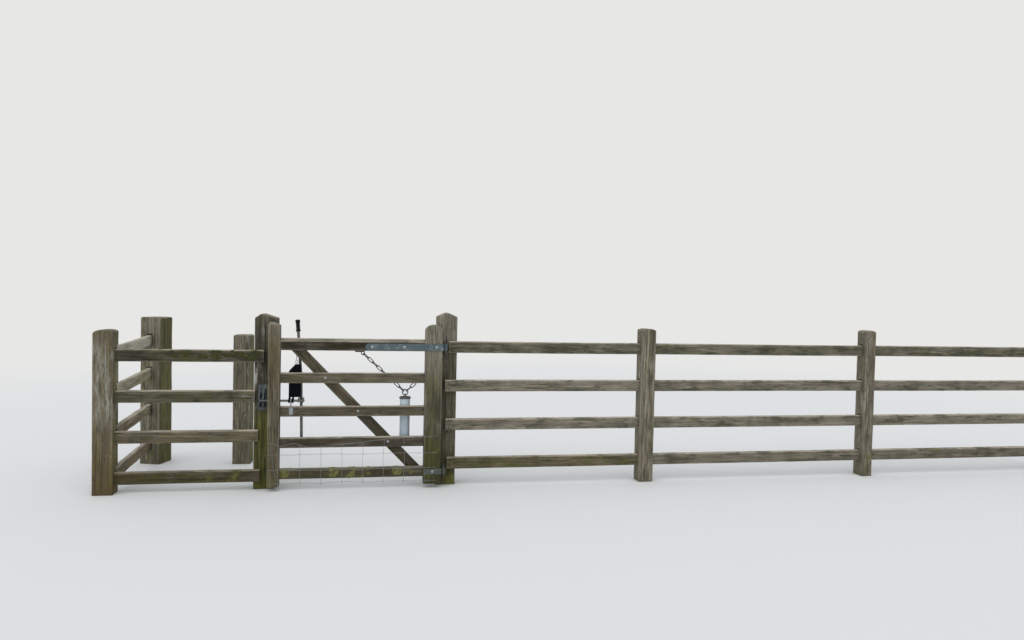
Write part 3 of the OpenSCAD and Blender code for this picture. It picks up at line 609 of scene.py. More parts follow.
def turned_shape(profile, sides):
    """A profile of (radius, height) points turned about Z; a radius of 0 closes an end."""
    vertices, faces, rows = [], [], []
    for radius, height in profile:
        count = sides if radius > 0 else 1
        rows.append([len(vertices) + k for k in range(count)])
        for k in range(count):
            angle = 2 * math.pi * k / sides
            vertices.append(Vector((radius * math.cos(angle), radius * math.sin(angle), height)))
    for low, high in zip(rows, rows[1:]):
        for k in range(sides):
            j = (k + 1) % sides
            face = [low[k % len(low)], low[j % len(low)], high[j % len(high)], high[k % len(high)]]
            faces.append(tuple(dict.fromkeys(face)))
    return vertices, faces


def wire_shape(points, radius, sides=6):
    """Round wire along a line of points."""
    points = [Vector(p) for p in points]
    last = len(points) - 1
    vertices = []
    side = (points[1] - points[0]).orthogonal().normalized()
    for i, point in enumerate(points):
        ahead = (points[min(i + 1, last)] - points[max(i - 1, 0)]).normalized()
        side = (side - ahead * side.dot(ahead)).normalized()
        other = ahead.cross(side)
        for k in range(sides):
            angle = 2 * math.pi * k / sides
            vertices.append(point + radius * (math.cos(angle) * side + math.sin(angle) * other))
    ends = [tuple(reversed(range(sides))), tuple(range(last * sides, last * sides + sides))]
    return vertices, ring_faces(len(points), sides) + ends


def placed(shape, matrix):
    return [matrix @ v for v in shape[0]], shape[1]


def set_at(shape, place, way, spin=0.0):
    """Stands a shape at a place, its top towards a direction, turned by a spin about its own axis."""
    turn = UP.rotation_difference(way).to_matrix().to_4x4()
    return placed(shape, Matrix.Translation(place) @ turn @ Matrix.Rotation(spin, 4, "Z"))


def joined(shapes):
    vertices, faces = [], []
    for more_vertices, more_faces in shapes:
        first = len(vertices)
        vertices += more_vertices
        faces += [tuple(first + v for v in face) for face in more_faces]
    return vertices, faces


# Pieces

def mesh_object(name, shape):
    mesh = bpy.data.meshes.new(name)
    mesh.from_pydata(shape[0], [], shape[1])
    return in_scene(name, mesh)


def add_piece(name, shapes, body, finish, smooth=True):
    """A piece made of one or more shapes, which rides on a body."""
    piece = mesh_object(name, joined(shapes))
    piece.data.validate()
    piece.data.update()
    if smooth:
        piece.data.shade_smooth()
        piece.data.set_sharp_from_angle(angle=math.radians(42))
    dress(piece, finish)
    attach(piece, body)
    return piece


def cut_away(piece, cutters):
    """Cuts closed shapes out of a piece."""
    cutter = mesh_object("cutter", joined(cutters))
    cut = piece.modifiers.new("sockets", "BOOLEAN")
    cut.operation = "DIFFERENCE"
    cut.solver = "EXACT"
    cut.object = cutter
    bpy.context.view_layer.update()
    shaped = bpy.data.meshes.new_from_object(piece.evaluated_get(bpy.context.evaluated_depsgraph_get()))
    piece.modifiers.clear()
    piece.data = shaped
    bpy.data.objects.remove(cutter)


# Timber ends: the height of the end at a place (a, b) of the cross-section

def flat_end(length):
    return lambda a, b: length


def ridged_end(height, fall, half, radius, offset):
    """A top weathered two ways from a worn ridge, which lies an offset to the left of the middle."""
    slope = math.atan(fall / half)
    cap = radius * math.sin(slope)
    cap_height = height - radius + radius * math.cos(slope)

    def top(a, b):
        run = abs(a + offset)
        if run < cap:
            return height - radius + math.sqrt(radius * radius - run * run)
        reach = half - offset if a < -offset else half + offset
        return cap_height - (run - cap) / (reach - cap) * (cap_height - height + fall)
    return top


def worn_end(height, half, right, left):
    """A flat top with worn corners, each a pair: its reach in from the side, and its fall."""
    def top(a, b):
        reach, fall = left if a < 0 else right
        over = min(1.0, max(0.0, abs(a) - (half - reach)) / reach)
        lumps = 2.5 * MM * abs(noise.noise((a * 30, b * 30, height)))
        return height - fall + fall * math.sqrt(1.0 - over * over) - 1.5 * MM * (a / half) ** 2 - lumps
    return top


def two_way_end(height, half, front_fall, right_fall):
    """A top cut down to the front, and again to the right beyond a third of its width."""
    def top(a, b):
        to_front = front_fall * (half.y - b) / (2 * half.y)
        to_right = right_fall * max(0.0, (a + half.x / 3) / (half.x * 4 / 3))
        return height - max(to_front, to_right)
    return top


def arched_end(height, sagitta, half):
    radius = (half * half + sagitta * sagitta) / (2 * sagitta)
    return lambda a, b: height - radius + math.sqrt(max(0.0, radius * radius - a * a))


# Timber meshes

COLUMN_SPACING = 13 * MM
RING_STEP = 19 * MM
END_ARRIS = 3 * MM
ARRIS_REACH = 9 * MM
LIP_REACH = 14 * MM
SPLIT_CLEARANCE = 14 * MM
ARRIS_ANGLES = (0.26, 0.785, 1.31)


class Split:
    """A drying split in one side of a timber: a line that wanders, opens and closes along the length."""

    def __init__(self, rng, half, length):
        self.centre = rng.uniform(-0.62, 0.62) * half
        self.wander = min(4 * MM, 0.12 * half)
        self.seed = rng.uniform(0, 100)
        self.runs = []
        for _ in range(max(1, round(length * 1.4))):
            reach = rng.uniform(0.05, 0.26) * min(length, 1.6)
            self.runs.append((rng.uniform(0, length), reach, rng.uniform(0.8, 3.2) * MM))

    def middle(self, s):
        return self.centre + self.wander * noise.noise((self.seed, s * 3.0, 0.0))

    def opening(self, s):
        return max(w * math.sqrt(max(0.0, 1 - ((s - at) / reach) ** 2)) for at, reach, w in self.runs)


class SawnTimber:
    """The worn skin of a sawn timber that stands on its foot, its length along +Z."""

    def __init__(self, size, seed, head, foot,
                 arris=3.5 * MM, splits=(1, 1, 1, 1), bow=2 * MM, rough=0.5 * MM):
        self.halves = (size[0] / 2, size[1] / 2) * 2
        self.length = size[2]
        self.head = head
        self.foot = foot
        self.arris = arris
        self.rough = rough
        self.rng = random.Random(seed)
        self.sides = [self.side_columns(half, count) for half, count in zip(self.halves, splits)]
        self.lean = [self.rng.uniform(-1, 1) * bow for _ in range(4)]
        self.drift = self.rng.uniform(0, 100)

    def side_columns(self, half, split_count):
        """Where the mesh lines of one side run: (place along the side, split, part of the split)."""
        splits = []
        for _ in range(split_count):
            split = Split(self.rng, half, self.length)
            if all(abs(split.centre - other.centre) > SPLIT_CLEARANCE for other in splits):
                splits.append(split)
        flat = half - self.arris
        count = max(2, round(2 * flat / COLUMN_SPACING))
        plain = [flat * (-1 + (2 * i + 1) / count) for i in range(count)]
        lines = [(x, None, 0) for x in plain if all(abs(x - s.centre) > s.wander + 4 * MM for s in splits)]
        for split in splits:
            lines += [(split.centre + part * 0.5 * MM, split, part) for part in (-2, -1, 0, 1, 2)]
        return sorted(lines, key=lambda line: line[0])

    def worn_arris(self, k, s):
        worn = self.arris * (0.75 + 0.9 * abs(noise.noise((self.drift + 7 * k, s * 9.0, 1.0))))
        return worn + 3.0 * MM * max(0.0, noise.noise((self.drift + 3 * k, s * 21.0, 5.0)) - 0.35)

    def section(self, s):
        """The outline at distance s along the timber, as (a, b, depth of split) triples."""
        turn = math.pi * s / self.length
        bend_a = self.lean[0] * math.sin(turn) + self.lean[1] * math.sin(2 * turn) * 0.5
        bend_b = self.lean[2] * math.sin(turn) + self.lean[3] * math.sin(2 * turn) * 0.5
        points = []
        for k in range(4):
            half, out = self.halves[k], self.halves[(k + 1) % 4]
            worn = self.worn_arris(k, s)
            outline = [self.side_point(k, line, s, half - worn, out) for line in self.sides[k]]
            for angle in ARRIS_ANGLES:
                along, off = half - worn + worn * math.sin(angle), out - worn + worn * math.cos(angle)
                outline.append((along, off, 0.0))
            for along, off, sunk in outline:
                a, b = ((along, -off), (off, along), (-along, off), (-off, -along))[k]
                points.append((a + bend_a, b + bend_b, sunk))
        return points

    def side_point(self, k, line, s, flat, out):
        """A point of one side: how far along it and how far out it lies, and how deep a split it is in."""
        along, split, part = line
        sunk = 0.0
        if split:
            gape = split.opening(s)
            along = split.middle(s) + (part / 2) * (gape / 2 + 0.4 * MM)
            if abs(part) == 2:
                along += math.copysign(2.0 * MM, part)
            sunk = (3.2 * gape, 0.25 * gape, 0.0)[abs(part)]
        along = max(-flat, min(flat, along))
        swell = self.rough * noise.noise((along * 22.0, self.drift + 11 * k, s * 7.0))
        ridge = 0.35 * self.rough * noise.noise((along * 160.0, self.drift + 5 * k, s * 14.0))
        return along, out + swell + ridge - sunk, sunk

    def level(self, s, a, b):
        """Eases the rings near an end into the shape of that end."""
        blend = min(0.06, self.length / 4)
        if s > self.length - blend:
            t = (s - (self.length - blend)) / blend
            return self.length - blend + t * (self.head(a, b) - END_ARRIS - (self.length - blend))
        if s < blend:
            return blend - (1 - s / blend) * (blend - self.foot(a, b) - END_ARRIS)
        return s

    def end_rings(self, s, end, sign):
        """The rounded edge of an end and the rings that close it, with the splits running in."""
        made = []
        around = self.section(s)
        for inset, drop in ((0.3 * END_ARRIS, 0.35 * END_ARRIS), (END_ARRIS, 0.0)):
            narrow, shallow = 1 - inset / self.halves[0], 1 - inset / self.halves[1]
            made.append([(a * narrow, b * shallow, drop, cut) for a, b, cut in around])
        for scale in (0.86, 0.66, 0.44, 0.22):
            made.append([(a * scale, b * scale, 0.0, cut * (0.4 + scale)) for a, b, cut in around])
        shaped = []
        for ring in made:
            lumps = [0.9 * MM * abs(noise.noise((a * 40, b * 40, self.drift))) for a, b, _, _ in ring]
            shaped.append([(a, b, end(a, b) - sign * (drop + cut + lump))
                           for (a, b, drop, cut), lump in zip(ring, lumps)])
        return shaped

    def shape(self):
        count = max(4, round(self.length / RING_STEP))
        rings = []
        for i in range(count + 1):
            s = self.length * i / count
            if 0 < i < count:
                s += self.rng.uniform(-0.3, 0.3) * self.length / count
            rings.append([(a, b, self.level(s, a, b)) for a, b, _ in self.section(s)])
        foot_rings = self.end_rings(0, self.foot, -1)
        rings = foot_rings[::-1] + rings + self.end_rings(self.length, self.head, 1)
        across = len(rings[0])
        vertices = [point for ring in rings for point in ring]
        faces = ring_faces(len(rings), across)
        for first, end, order in ((0, self.foot, -1), ((len(rings) - 1) * across, self.head, 1)):
            vertices.append((0.0, 0.0, end(0.0, 0.0) - order * 1.0 * MM))
            for j in range(across):
                pair = (first + j, first + (j + 1) % across)
                faces.append((*pair[::order], len(vertices) - 1))
        return vertices, faces


def mark_grain(mesh, inverse, size, seed, head):
    """Stores each vertex's place in the tree, and how worn its edge is: a rail's upper edge the most, partly
    as painted highlight.
    """
    rng = random.Random(seed * 7 + 1)
    aside, away = rng.uniform(-0.09, 0.09), rng.uniform(0.05, 0.16) * rng.choice((-1, 1))
    pith = Vector((aside, away, rng.uniform(0, 50)))
    lying_down = abs((inverse.to_3x3() @ UP).z) < 0.5
    half_width, half_depth = size[0] / 2, size[1] / 2
    grain, worn = [], []
    for vertex in mesh.vertices:
        local = inverse @ vertex.co
        grain.extend(local + pith)
        to_end = min(abs(local.z), abs(head(local.x, local.y) - local.z))
        gaps = sorted((abs(half_width - abs(local.x)), abs(half_depth - abs(local.y)), to_end))
        edge = 0.6 * max(0.0, 1 - math.hypot(*gaps[:2]) / ARRIS_REACH)
        # The band along a lying timber's top, bleached and partly a painted highlight.
        bleach_and_highlight_band = max(0.0, 1 - max(0.0, half_depth - local.y) / LIP_REACH) if lying_down else 0.0
        worn.append(max(edge, bleach_and_highlight_band))
    mesh.attributes.new("grain", "FLOAT_VECTOR", "POINT").data.foreach_set("vector", grain)
    mesh.attributes.new("worn", "FLOAT", "POINT").data.foreach_set("value", worn)


def timber(name, node, size, place, seed, body, finish, slot,
           cutters=(), bend=None, head=None, foot=flat_end(0.0), **wear):
    """A worn timber that stands for a CAD node. place takes it from its foot, standing, to its own place."""
    head = head or flat_end(size[2])
    vertices, faces = SawnTimber(size, seed, head, foot, **wear).shape()
    if bend:
        vertices = [bend(*v) for v in vertices]
    piece = add_piece(name, [([place @ Vector(v) for v in vertices], faces)], body, finish)
    if cutters:
        cut_away(piece, cutters)
    mark_grain(piece.data, place.inverted(), size, seed, head)
    dress(nodes[node], finish)
    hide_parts(node)


def standing(middle, z=0.0, yaw=0.0):
    return Matrix.Translation((middle.x, middle.y, z)) @ Matrix.Rotation(yaw, 4, "Z")


def lying(start, end):
    """Takes a timber's length from start to end, its first side across and its second up."""
    along = (end - start).normalized()
    across = UP.cross(along).normalized()
    turn = Matrix((across, along.cross(across), along)).transposed().to_4x4()
    return Matrix.Translation(start) @ turn


# Posts, fence and pen

TIMBER_TRIM = 1 * MM
POST_TOP_FALL = 30 * MM
RIDGE_RADIUS = 30 * MM
CLAPPING_RIDGE_OFFSET = 25 * MM
POST_CORNER = (14 * MM, 14 * MM)
FENCE_POST_CORNERS = ((42 * MM, 13 * MM), (58 * MM, 20 * MM))
PEN_FRONT_CORNERS = ((74 * MM, 30 * MM), (34 * MM, 16 * MM))
SOCKET_PLAY = 4 * MM
SOCKET_FOOT = 0.5 * MM
SOCKET_HEAD = 9 * MM
SOCKET_OVERRUN = 10 * MM
PEN_SIDE_YAW = math.radians(1.9)
PEN_REAR_YAW = math.radians(-16.7)
SIDE_RAIL_THICKNESS = 37 * MM
SIDE_RAIL_INSET = 19 * MM
SIDE_RAIL_END = 20 * MM
FRONT_MORTICE_REACH = (-3 * MM, 60 * MM)
FRONT_MORTICE_HEIGHT = 96 * MM
REAR_MORTICE_REACH = (-90 * MM, 4 * MM)
REAR_MORTICE_HEIGHT = 97 * MM
SCALLOPS = 5 * MM
SIDE_RAIL_FINISHES = ("white_side_rail", "pale_side_rail", "tan_side_rail", "tan_side_rail")
FENCE_POSTS = {"fence_post_near": "fence_rails_near", "fence_post_middle": "fence_rails_middle",
               "fence_post_far": "fence_rails_far"}


def gate_post(node, seed, slot, ridge_offset):
    box = node_box(node)
    side, height = box.size.x, box.size.z
    head = ridged_end(height, POST_TOP_FALL, side / 2, RIDGE_RADIUS, ridge_offset)
    size = (side - TIMBER_TRIM, side - TIMBER_TRIM, height)
    timber(node + "_timber", node, size, standing(box.middle), seed, ROOT, node, slot, head=head,
           splits=(3, 2, 2, 2), bow=0.4 * MM, arris=4 * MM)


def square_post(node, seed, finish, slot, sockets=(), yaw=0.0,
                corners=(POST_CORNER, POST_CORNER), arris=6 * MM):
    """A post with a worn flat top. corners are the left and the right one."""
    box = node_box(node)
    width, depth = box.size.x, box.size.y
    if yaw:
        width = depth = width / (math.cos(yaw) + abs(math.sin(yaw)))
    head = worn_end(box.high.z, width / 2, corners[1], corners[0])
    timber(node + "_timber", node, (width - TIMBER_TRIM, depth - TIMBER_TRIM, box.high.z),
           standing(box.middle, yaw=yaw), seed, ROOT, finish, slot, cutters=uneven_boxes(sockets), head=head,
           splits=(2, 2, 2, 2), bow=0.4 * MM, arris=arris)


def uneven_boxes(sockets):
    """Slightly uneven cutters. Each socket is (low corner, high corner, turn about Z, origin of the turn)."""
    cutters = []
    for index, (low, high, turn, origin) in enumerate(sockets):
        vertices, faces = box_shape(low, high)
        uneven = [v + 1.2 * MM * noise.noise_vector(v * 31.0 + Vector((index, 0, 0))) for v in vertices]
        turned = Matrix.Rotation(turn, 3, "Z")
        cutters.append(([turned @ (v - origin) + origin for v in uneven], faces))
    return cutters


def rail_socket(left, right, rail):
    low = Vector((left, rail.low.y - SOCKET_PLAY, rail.low.z - SOCKET_FOOT))
    high = Vector((right, rail.high.y + SOCKET_PLAY, rail.high.z + SOCKET_HEAD))
    return low, high, 0.0, Vector((0, 0, 0))


def side_rail_socket(mouth, reach, bottom, top):
    """A socket for a rail of the pen's side, which reaches from before its mouth to behind it."""
    half = SIDE_RAIL_THICKNESS / 2 + SOCKET_PLAY
    low = Vector((mouth.x - half, mouth.y + reach[0], bottom))
    return low, Vector((mouth.x + half, mouth.y + reach[1], top)), PEN_SIDE_YAW, mouth


def fence_posts():
    for index, (post, rails) in enumerate(FENCE_POSTS.items()):
        box = node_box(post)
        sockets = []
        for rail in [points_box(points) for points in islands(rails)]:
            end = rail.high.x + SOCKET_PLAY if post == "fence_post_far" else box.high.x + SOCKET_OVERRUN
            sockets.append(rail_socket(box.low.x - SOCKET_OVERRUN, end, rail))
        square_post(post, 21 + index, "fence_post", "fence_timber", sockets, corners=FENCE_POST_CORNERS)


def rail_pieces(node, finishes, slot, seed, **wear):
    """One timber for each rail in a node, the highest first, each in its own finish."""
    for index, points in enumerate(islands(node)):
        box = points_box(points)
        size = (box.size.y - TIMBER_TRIM, box.size.z - TIMBER_TRIM, box.size.x)
        place = lying(*box.middle_line(box.low.x, box.high.x))
        timber(f"{node}_{index + 1}", node, size, place, seed + index, ROOT, finishes[index], slot,
               bow=1.5 * MM, arris=4 * MM, splits=(1, 2, 1, 2), **wear)


def scalloped(a, b, s):
    """Knobbly edges, as on a cleft rail."""
    wave = SCALLOPS * (noise.noise((s * 14.0, 3.0, 0.0)) + 0.5 * noise.noise((s * 37.0, 9.0, b * 8.0)))
    return a, b - max(0.0, wave) * (1 if b > 0 else -1), s


def pen_side():
    for index, points in enumerate(islands("pen_side_rails")):
        box = points_box(points)
        near = points_box([p for p in points if p.y < box.low.y + SIDE_RAIL_END])
        far = points_box([p for p in points if p.y > box.high.y - SIDE_RAIL_END])
        size = (SIDE_RAIL_THICKNESS, near.size.z - TIMBER_TRIM, (far.middle - near.middle).length)
        place = lying(near.middle, far.middle)
        timber(f"pen_side_rail_{index + 1}", "pen_side_rails", size, place, 61 + index, ROOT,
               SIDE_RAIL_FINISHES[index], "bleached_timber", bend=scalloped, bow=1 * MM, arris=10 * MM,
               rough=2.2 * MM, splits=(1, 2, 1, 2))


def pen_posts():
    post_right = node_box("pen_front_post").high.x + SOCKET_OVERRUN
    front_sockets = []
    for rail in [points_box(points) for points in islands("pen_front_rails")]:
        front_sockets.append(rail_socket(rail.low.x - SOCKET_PLAY, post_right, rail))
    rear_sockets = []
    for rail in [points_box(points) for points in islands("pen_side_rails")]:
        mouth = Vector((rail.high.x - SIDE_RAIL_INSET, rail.low.y, 0))
        bottom = rail.low.z - SOCKET_FOOT
        front_sockets.append(
            side_rail_socket(mouth, FRONT_MORTICE_REACH, bottom, bottom + FRONT_MORTICE_HEIGHT))
        mouth = Vector((rail.low.x + SIDE_RAIL_INSET, rail.high.y, 0))
        top = rail.high.z + SOCKET_HEAD
        rear_sockets.append(side_rail_socket(mouth, REAR_MORTICE_REACH, top - REAR_MORTICE_HEIGHT, top))
    square_post("pen_front_post", 31, "pen_front_post", "lichened_timber", front_sockets,
                corners=PEN_FRONT_CORNERS, arris=7 * MM)
    square_post("pen_rear_left_post", 32, "pen_rear_post", "lichened_timber", rear_sockets, PEN_REAR_YAW,
                arris=8 * MM)
    square_post("pen_rear_right_post", 33, "pen_rear_post", "fence_timber")


def standing_work():
    gate_post("hanging_post", 11, "gate_timber", 0.0)
    gate_post("clapping_post", 12, "mossy_timber", CLAPPING_RIDGE_OFFSET)
    fence_posts()
    rail_pieces("fence_rails_near", ("upper_fence_rail", "fence_rail", "fence_rail", "lower_fence_rail"),
                "fence_timber", 71)
    rail_pieces("fence_rails_middle", ("upper_fence_rail",) + ("fence_rail",) * 3, "fence_timber", 81)
    rail_pieces("fence_rails_far", ("upper_fence_rail",) + ("fence_rail",) * 3, "fence_timber", 91)
    rail_pieces("pen_front_rails", ("dark_pen_rail", "green_pen_rail", "pale_pen_rail", "low_pen_rail"),
                "mossy_timber", 101, rough=1.2 * MM)
    pen_side()
    pen_posts()


# Leaf

LEAF_TRIM = 0.6 * MM
TENON = 3 * MM
TOP_RAIL_FALL = 22 * MM
STILE_TOP_FALLS = (16 * MM, 22 * MM)
STILE_ARCH = 36 * MM
BOLT_BORE = 10 * MM
BORE_OVERRUN = 5 * MM
BRACE_ANGLE = math.radians(46)
BRACE_HALF = 37.5 * MM
LOWER_RAILS = ("second_rail", "third_rail", "fourth_rail", "bottom_rail")


def bolt_axis():
    """A point on the latch bolt's axis and the bolt's radius, from its bare end."""
    tip = node_box("latch_bolt").low.x
    end = points_box([v.co for v in nodes["latch_bolt"].data.vertices if v.co.x < tip + 1 * MM])
    return end.middle, end.size.z / 2


def stile(node, seed, finish, make_head, **wear):
    box = node_box(node)
    width, thick, height = box.size
    size = (width, thick - LEAF_TRIM, height)
    timber(node + "_timber", node, size, standing(box.middle, box.low.z), seed, LEAF, finish, "gate_timber",
           head=make_head(width / 2, thick / 2, height), bow=0.4 * MM, **wear)


def stiles():
    slam = node_box("slam_stile")
    bolt, _ = bolt_axis()
    reach = slam.size.x + 2 * BORE_OVERRUN
    bore = turned_shape([(0, 0), (BOLT_BORE, 0), (BOLT_BORE, reach), (0, reach)], 20)
    bore = set_at(bore, Vector((slam.low.x - BORE_OVERRUN, bolt.y, bolt.z)), TO_RIGHT)
    stile("slam_stile", 41, "stile", cutters=[bore],
          make_head=lambda half, deep, height: two_way_end(height, Vector((half, deep)), *STILE_TOP_FALLS))
    stile("hanging_stile", 42, "hanging_stile", splits=(2, 1, 1, 1),
          make_head=lambda half, deep, height: arched_end(height, STILE_ARCH, half))


def leaf_rails():
    left = node_box("slam_stile").high.x - TENON
    right = node_box("hanging_stile").low.x + TENON
    box = node_box("top_rail")
    thick, rise = box.size.y, box.size.z

    def weathered(a, b, s):
        """Slopes the rail's top down to the front; the first side runs towards the front."""
        return a, b - TOP_RAIL_FALL * (0.5 + a / thick) * (0.5 + b / rise), s

    timber("top_rail_timber", "top_rail", (thick - LEAF_TRIM, rise - LEAF_TRIM, right - left),
           lying(*box.middle_line(right, left)), 43, LEAF, "top_rail", "gate_timber", bend=weathered,
           splits=(1, 1, 1, 2), bow=0.5 * MM)
    for index, node in enumerate(LOWER_RAILS):
        box = node_box(node)
        size = (box.size.y - LEAF_TRIM, box.size.z - LEAF_TRIM, right - left)
        timber(node + "_timber", node, size, lying(*box.middle_line(left, right)), 44 + index, LEAF, node,
               "gate_timber", splits=(0, 1, 0, 1), bow=0.8 * MM, arris=2.5 * MM)


def brace_start():
    """The upper end of the brace's middle line, at the underside of the top rail."""
    box = node_box("brace")
    return Vector((box.low.x + BRACE_HALF / math.sin(BRACE_ANGLE), box.middle.y, box.high.z))


def brace():
    box = node_box("brace")
    start = brace_start()
    along = Vector((math.cos(BRACE_ANGLE), 0, -math.sin(BRACE_ANGLE)))
    across = Vector((math.sin(BRACE_ANGLE), 0, math.cos(BRACE_ANGLE)))
    place = Matrix.Translation(start) @ Matrix((TO_BACK, across, along)).transposed().to_4x4()

    def top_cut(a, b):
        return b / math.tan(BRACE_ANGLE)

    def foot_cut(a, b):
        by_stile = (box.high.x - start.x - b * math.sin(BRACE_ANGLE)) / math.cos(BRACE_ANGLE)
        by_rail = (box.size.z + b * math.cos(BRACE_ANGLE)) / math.sin(BRACE_ANGLE)
        return min(by_stile, by_rail)

    size = (box.size.y - LEAF_TRIM, 2 * BRACE_HALF - TIMBER_TRIM, foot_cut(0, 0))
    timber("brace_timber", "brace", size, place, 49, LEAF, "brace", "gate_timber", head=foot_cut,
           foot=top_cut, splits=(0, 1, 0, 1), bow=0.3 * MM, arris=2.5 * MM)


# Fastenings, each standing on the XY plane and sunk a little below it

SUNK = -0.5 * MM
STRAP_BOLTS = (-545 * MM, -316 * MM, -84 * MM)
BAND_BOLT = -100 * MM
NUT_WIDTH = 17 * MM
BOLT_RADIUS = 5 * MM
OVAL_SCREW_GAP = 19 * MM
OVAL_SCREW_RADIUS = 3.2 * MM
HOOK_PLATE_MIDDLE = 35 * MM
HOOK_PLATE_THICKNESS = 5 * MM
HOOK_NAIL_GAP = 27 * MM

# Plates screwed to timber: their body, the screws' radius in mm, the way the screws face, and how far each
# is set in from the node's box, in mm
SCREWED_PLATES = {
    "latch_catch": (ROOT, 4.5, TO_FRONT, [(x, -5, z) for x in (-8, 7) for z in (30, -30)]),
    "chain_bracket": (LEAF, 4.0, TO_BACK, [(9, 5, -12), (34, 5, -12), (59, 5, -12), (9, 5, -35)]),
    "lever_bracket": (LEAF, 4.5, TO_BACK, [(x, 6, z) for x in (9, -9) for z in (9, -9)]),
    "latch_housing": (LEAF, 3.5, TO_BACK, [(x, 0, z) for x in (10, -10) for z in (-222, -58)]),
}


def dome_head(radius):
    dome = [(1, 0.10), (0.95, 0.22), (0.78, 0.36), (0.52, 0.46), (0.25, 0.5), (0, 0.51)]
    return turned_shape([(0, SUNK), (radius, SUNK)] + [(r * radius, h * radius) for r, h in dome], 28)


def nut_and_end(across, bolt_radius):
    """A hexagon nut on a washer, with the bolt's end through it."""
    washer_radius, washer_top, nut_top = across * 0.72, 2.2 * MM, across * 0.46 + 2.2 * MM
    corner = across / math.sqrt(3)
    washer = turned_shape([(0, SUNK), (washer_radius, SUNK), (washer_radius, washer_top * 0.8),
                           (washer_radius * 0.96, washer_top), (0, washer_top)], 28)
    nut = turned_shape([(0, washer_top), (corner * 0.94, washer_top), (corner, washer_top + 1 * MM),
                        (corner, nut_top - 1 * MM), (corner * 0.9, nut_top), (0, nut_top)], 6)
    low, high = nut_top - 1 * MM, nut_top + 3.5 * MM
    end = turned_shape([(0, low), (bolt_radius, low), (bolt_radius, high - 1 * MM), (bolt_radius * 0.8, high),
                        (0, high)], 16)
    return joined([washer, nut, end])


def screw_head(radius):
    """A pan head with a driven recess."""
    pan = [(1, 0.25), (0.8, 0.5), (0.42, 0.58), (0.34, 0.2), (0, 0.2)]
    return turned_shape([(0, SUNK), (radius, SUNK)] + [(r * radius, h * radius) for r, h in pan], 14)


def nail_head(rng):
    """A clout nail's head, driven a little askew."""
    radius, tilt = rng.uniform(3.6, 4.4) * MM, rng.uniform(-0.12, 0.12)
    head = turned_shape([(0, -2 * MM), (radius, -2 * MM), (radius, 0.9 * MM), (0.8 * radius, 1.5 * MM),
                         (0, 1.7 * MM)], 12)
    return placed(head, Matrix.Rotation(tilt, 4, "X") @ Matrix.Rotation(tilt, 4, "Y"))


def staple_shape(legs, height, wire_radius):
    """A staple, its legs apart along X."""
    half = legs / 2
    angles = [math.pi * k / 8 for k in range(9)]
    bend = [(-half * math.cos(a), 0, height - half + half * math.sin(a)) for a in angles]
    return wire_shape([(-half, 0, -2 * MM), *bend, (half, 0, -2 * MM)], wire_radius, 8)


def brace_crossings():
    """Where the brace's middle line passes each of the three upper lower rails."""
    start = brace_start()
    heights = [node_box(node).middle.z for node in LOWER_RAILS[:3]]
    return [(start.x + (start.z - z) / math.tan(BRACE_ANGLE), z) for z in heights]


def leaf_bolts():
    """Coach bolts through straps, rails and brace, their heads in front and their nuts behind."""
    strap, band = node_box("top_hinge_strap"), node_box("bottom_hinge_band")
    rail_face, brace_back = node_box("second_rail").low.y, node_box("brace").high.y
    bolts = [(x, strap.middle.z, strap.low.y, strap.high.y, 12.5, 0.3 + 7 * x) for x in STRAP_BOLTS]
    bolts.append((BAND_BOLT, band.middle.z, band.low.y, band.high.y, 11, 0.5))
    bolts += [(x, z, rail_face, brace_back, 10, 9 * x) for x, z in brace_crossings()]
    heads, nuts = [], []
    for x, z, front, back, radius, spin in bolts:
        heads.append(set_at(dome_head(radius * MM), Vector((x, front, z)), TO_FRONT))
        nuts.append(set_at(nut_and_end(NUT_WIDTH, BOLT_RADIUS), Vector((x, back, z)), TO_BACK, spin))
    add_piece("leaf_coach_bolts", heads + nuts, LEAF, "pale_steel")


def plate_screws():
    for node, (body, radius, way, gaps) in SCREWED_PLATES.items():
        spots = [node_box(node).inset(gap) for gap in gaps]
        shapes = [set_at(screw_head(radius * MM), spot, way, spot.x / MM) for spot in spots]
        add_piece(node + "_screws", shapes, body, "old_galvanised")
    oval = node_box("oval_plate")
    shapes = []
    for dz in (-OVAL_SCREW_GAP, OVAL_SCREW_GAP):
        spot = Vector((oval.middle.x, oval.low.y, oval.middle.z + dz))
        shapes.append(set_at(screw_head(OVAL_SCREW_RADIUS), spot, TO_FRONT))
    add_piece("oval_plate_screws", shapes, LEAF, "pale_steel")


def hook_plate_nails():
    rng = random.Random(5)
    face = node_box("hanging_post").high.y + HOOK_PLATE_THICKNESS
    shapes = []
    for hook in (node_box("top_hook"), node_box("bottom_hook")):
        for dx in (-HOOK_NAIL_GAP, HOOK_NAIL_GAP):
            for dz in (-HOOK_NAIL_GAP, HOOK_NAIL_GAP):
                spot = Vector((hook.middle.x + dx, face, hook.low.z + HOOK_PLATE_MIDDLE + dz))
                shapes.append(set_at(nail_head(rng), spot, TO_BACK))
    add_piece("hook_plate_nails", shapes, ROOT, "old_galvanised")


def rail_nails():
    rng = random.Random(9)
    shapes = []
    for node, at_left, inset in (("fence_rails_near", True, 26 * MM), ("pen_front_rails", False, 16 * MM)):
        for rail in [points_box(points) for points in islands(node)]:
            x = rail.low.x + inset if at_left else rail.high.x - inset
            for share in (0.28, 0.72):
                spot = Vector((x + rng.uniform(-6, 6) * MM, rail.low.y, rail.low.z + share * rail.size.z))
                shapes.append(set_at(nail_head(rng), spot, TO_FRONT))
    add_piece("rail_nails", shapes, ROOT, "rusty_nails")


# Latch details and closer weight

BOLT_GUIDE_X = -1107 * MM
GUIDE_WIRE = 3 * MM
GUIDE_PLAY = 2 * MM
HOUSING_ROD_PLACE = (-1074 * MM, -103 * MM)
WEIGHT_SIDES = 72
WEIGHT_ROWS = 46


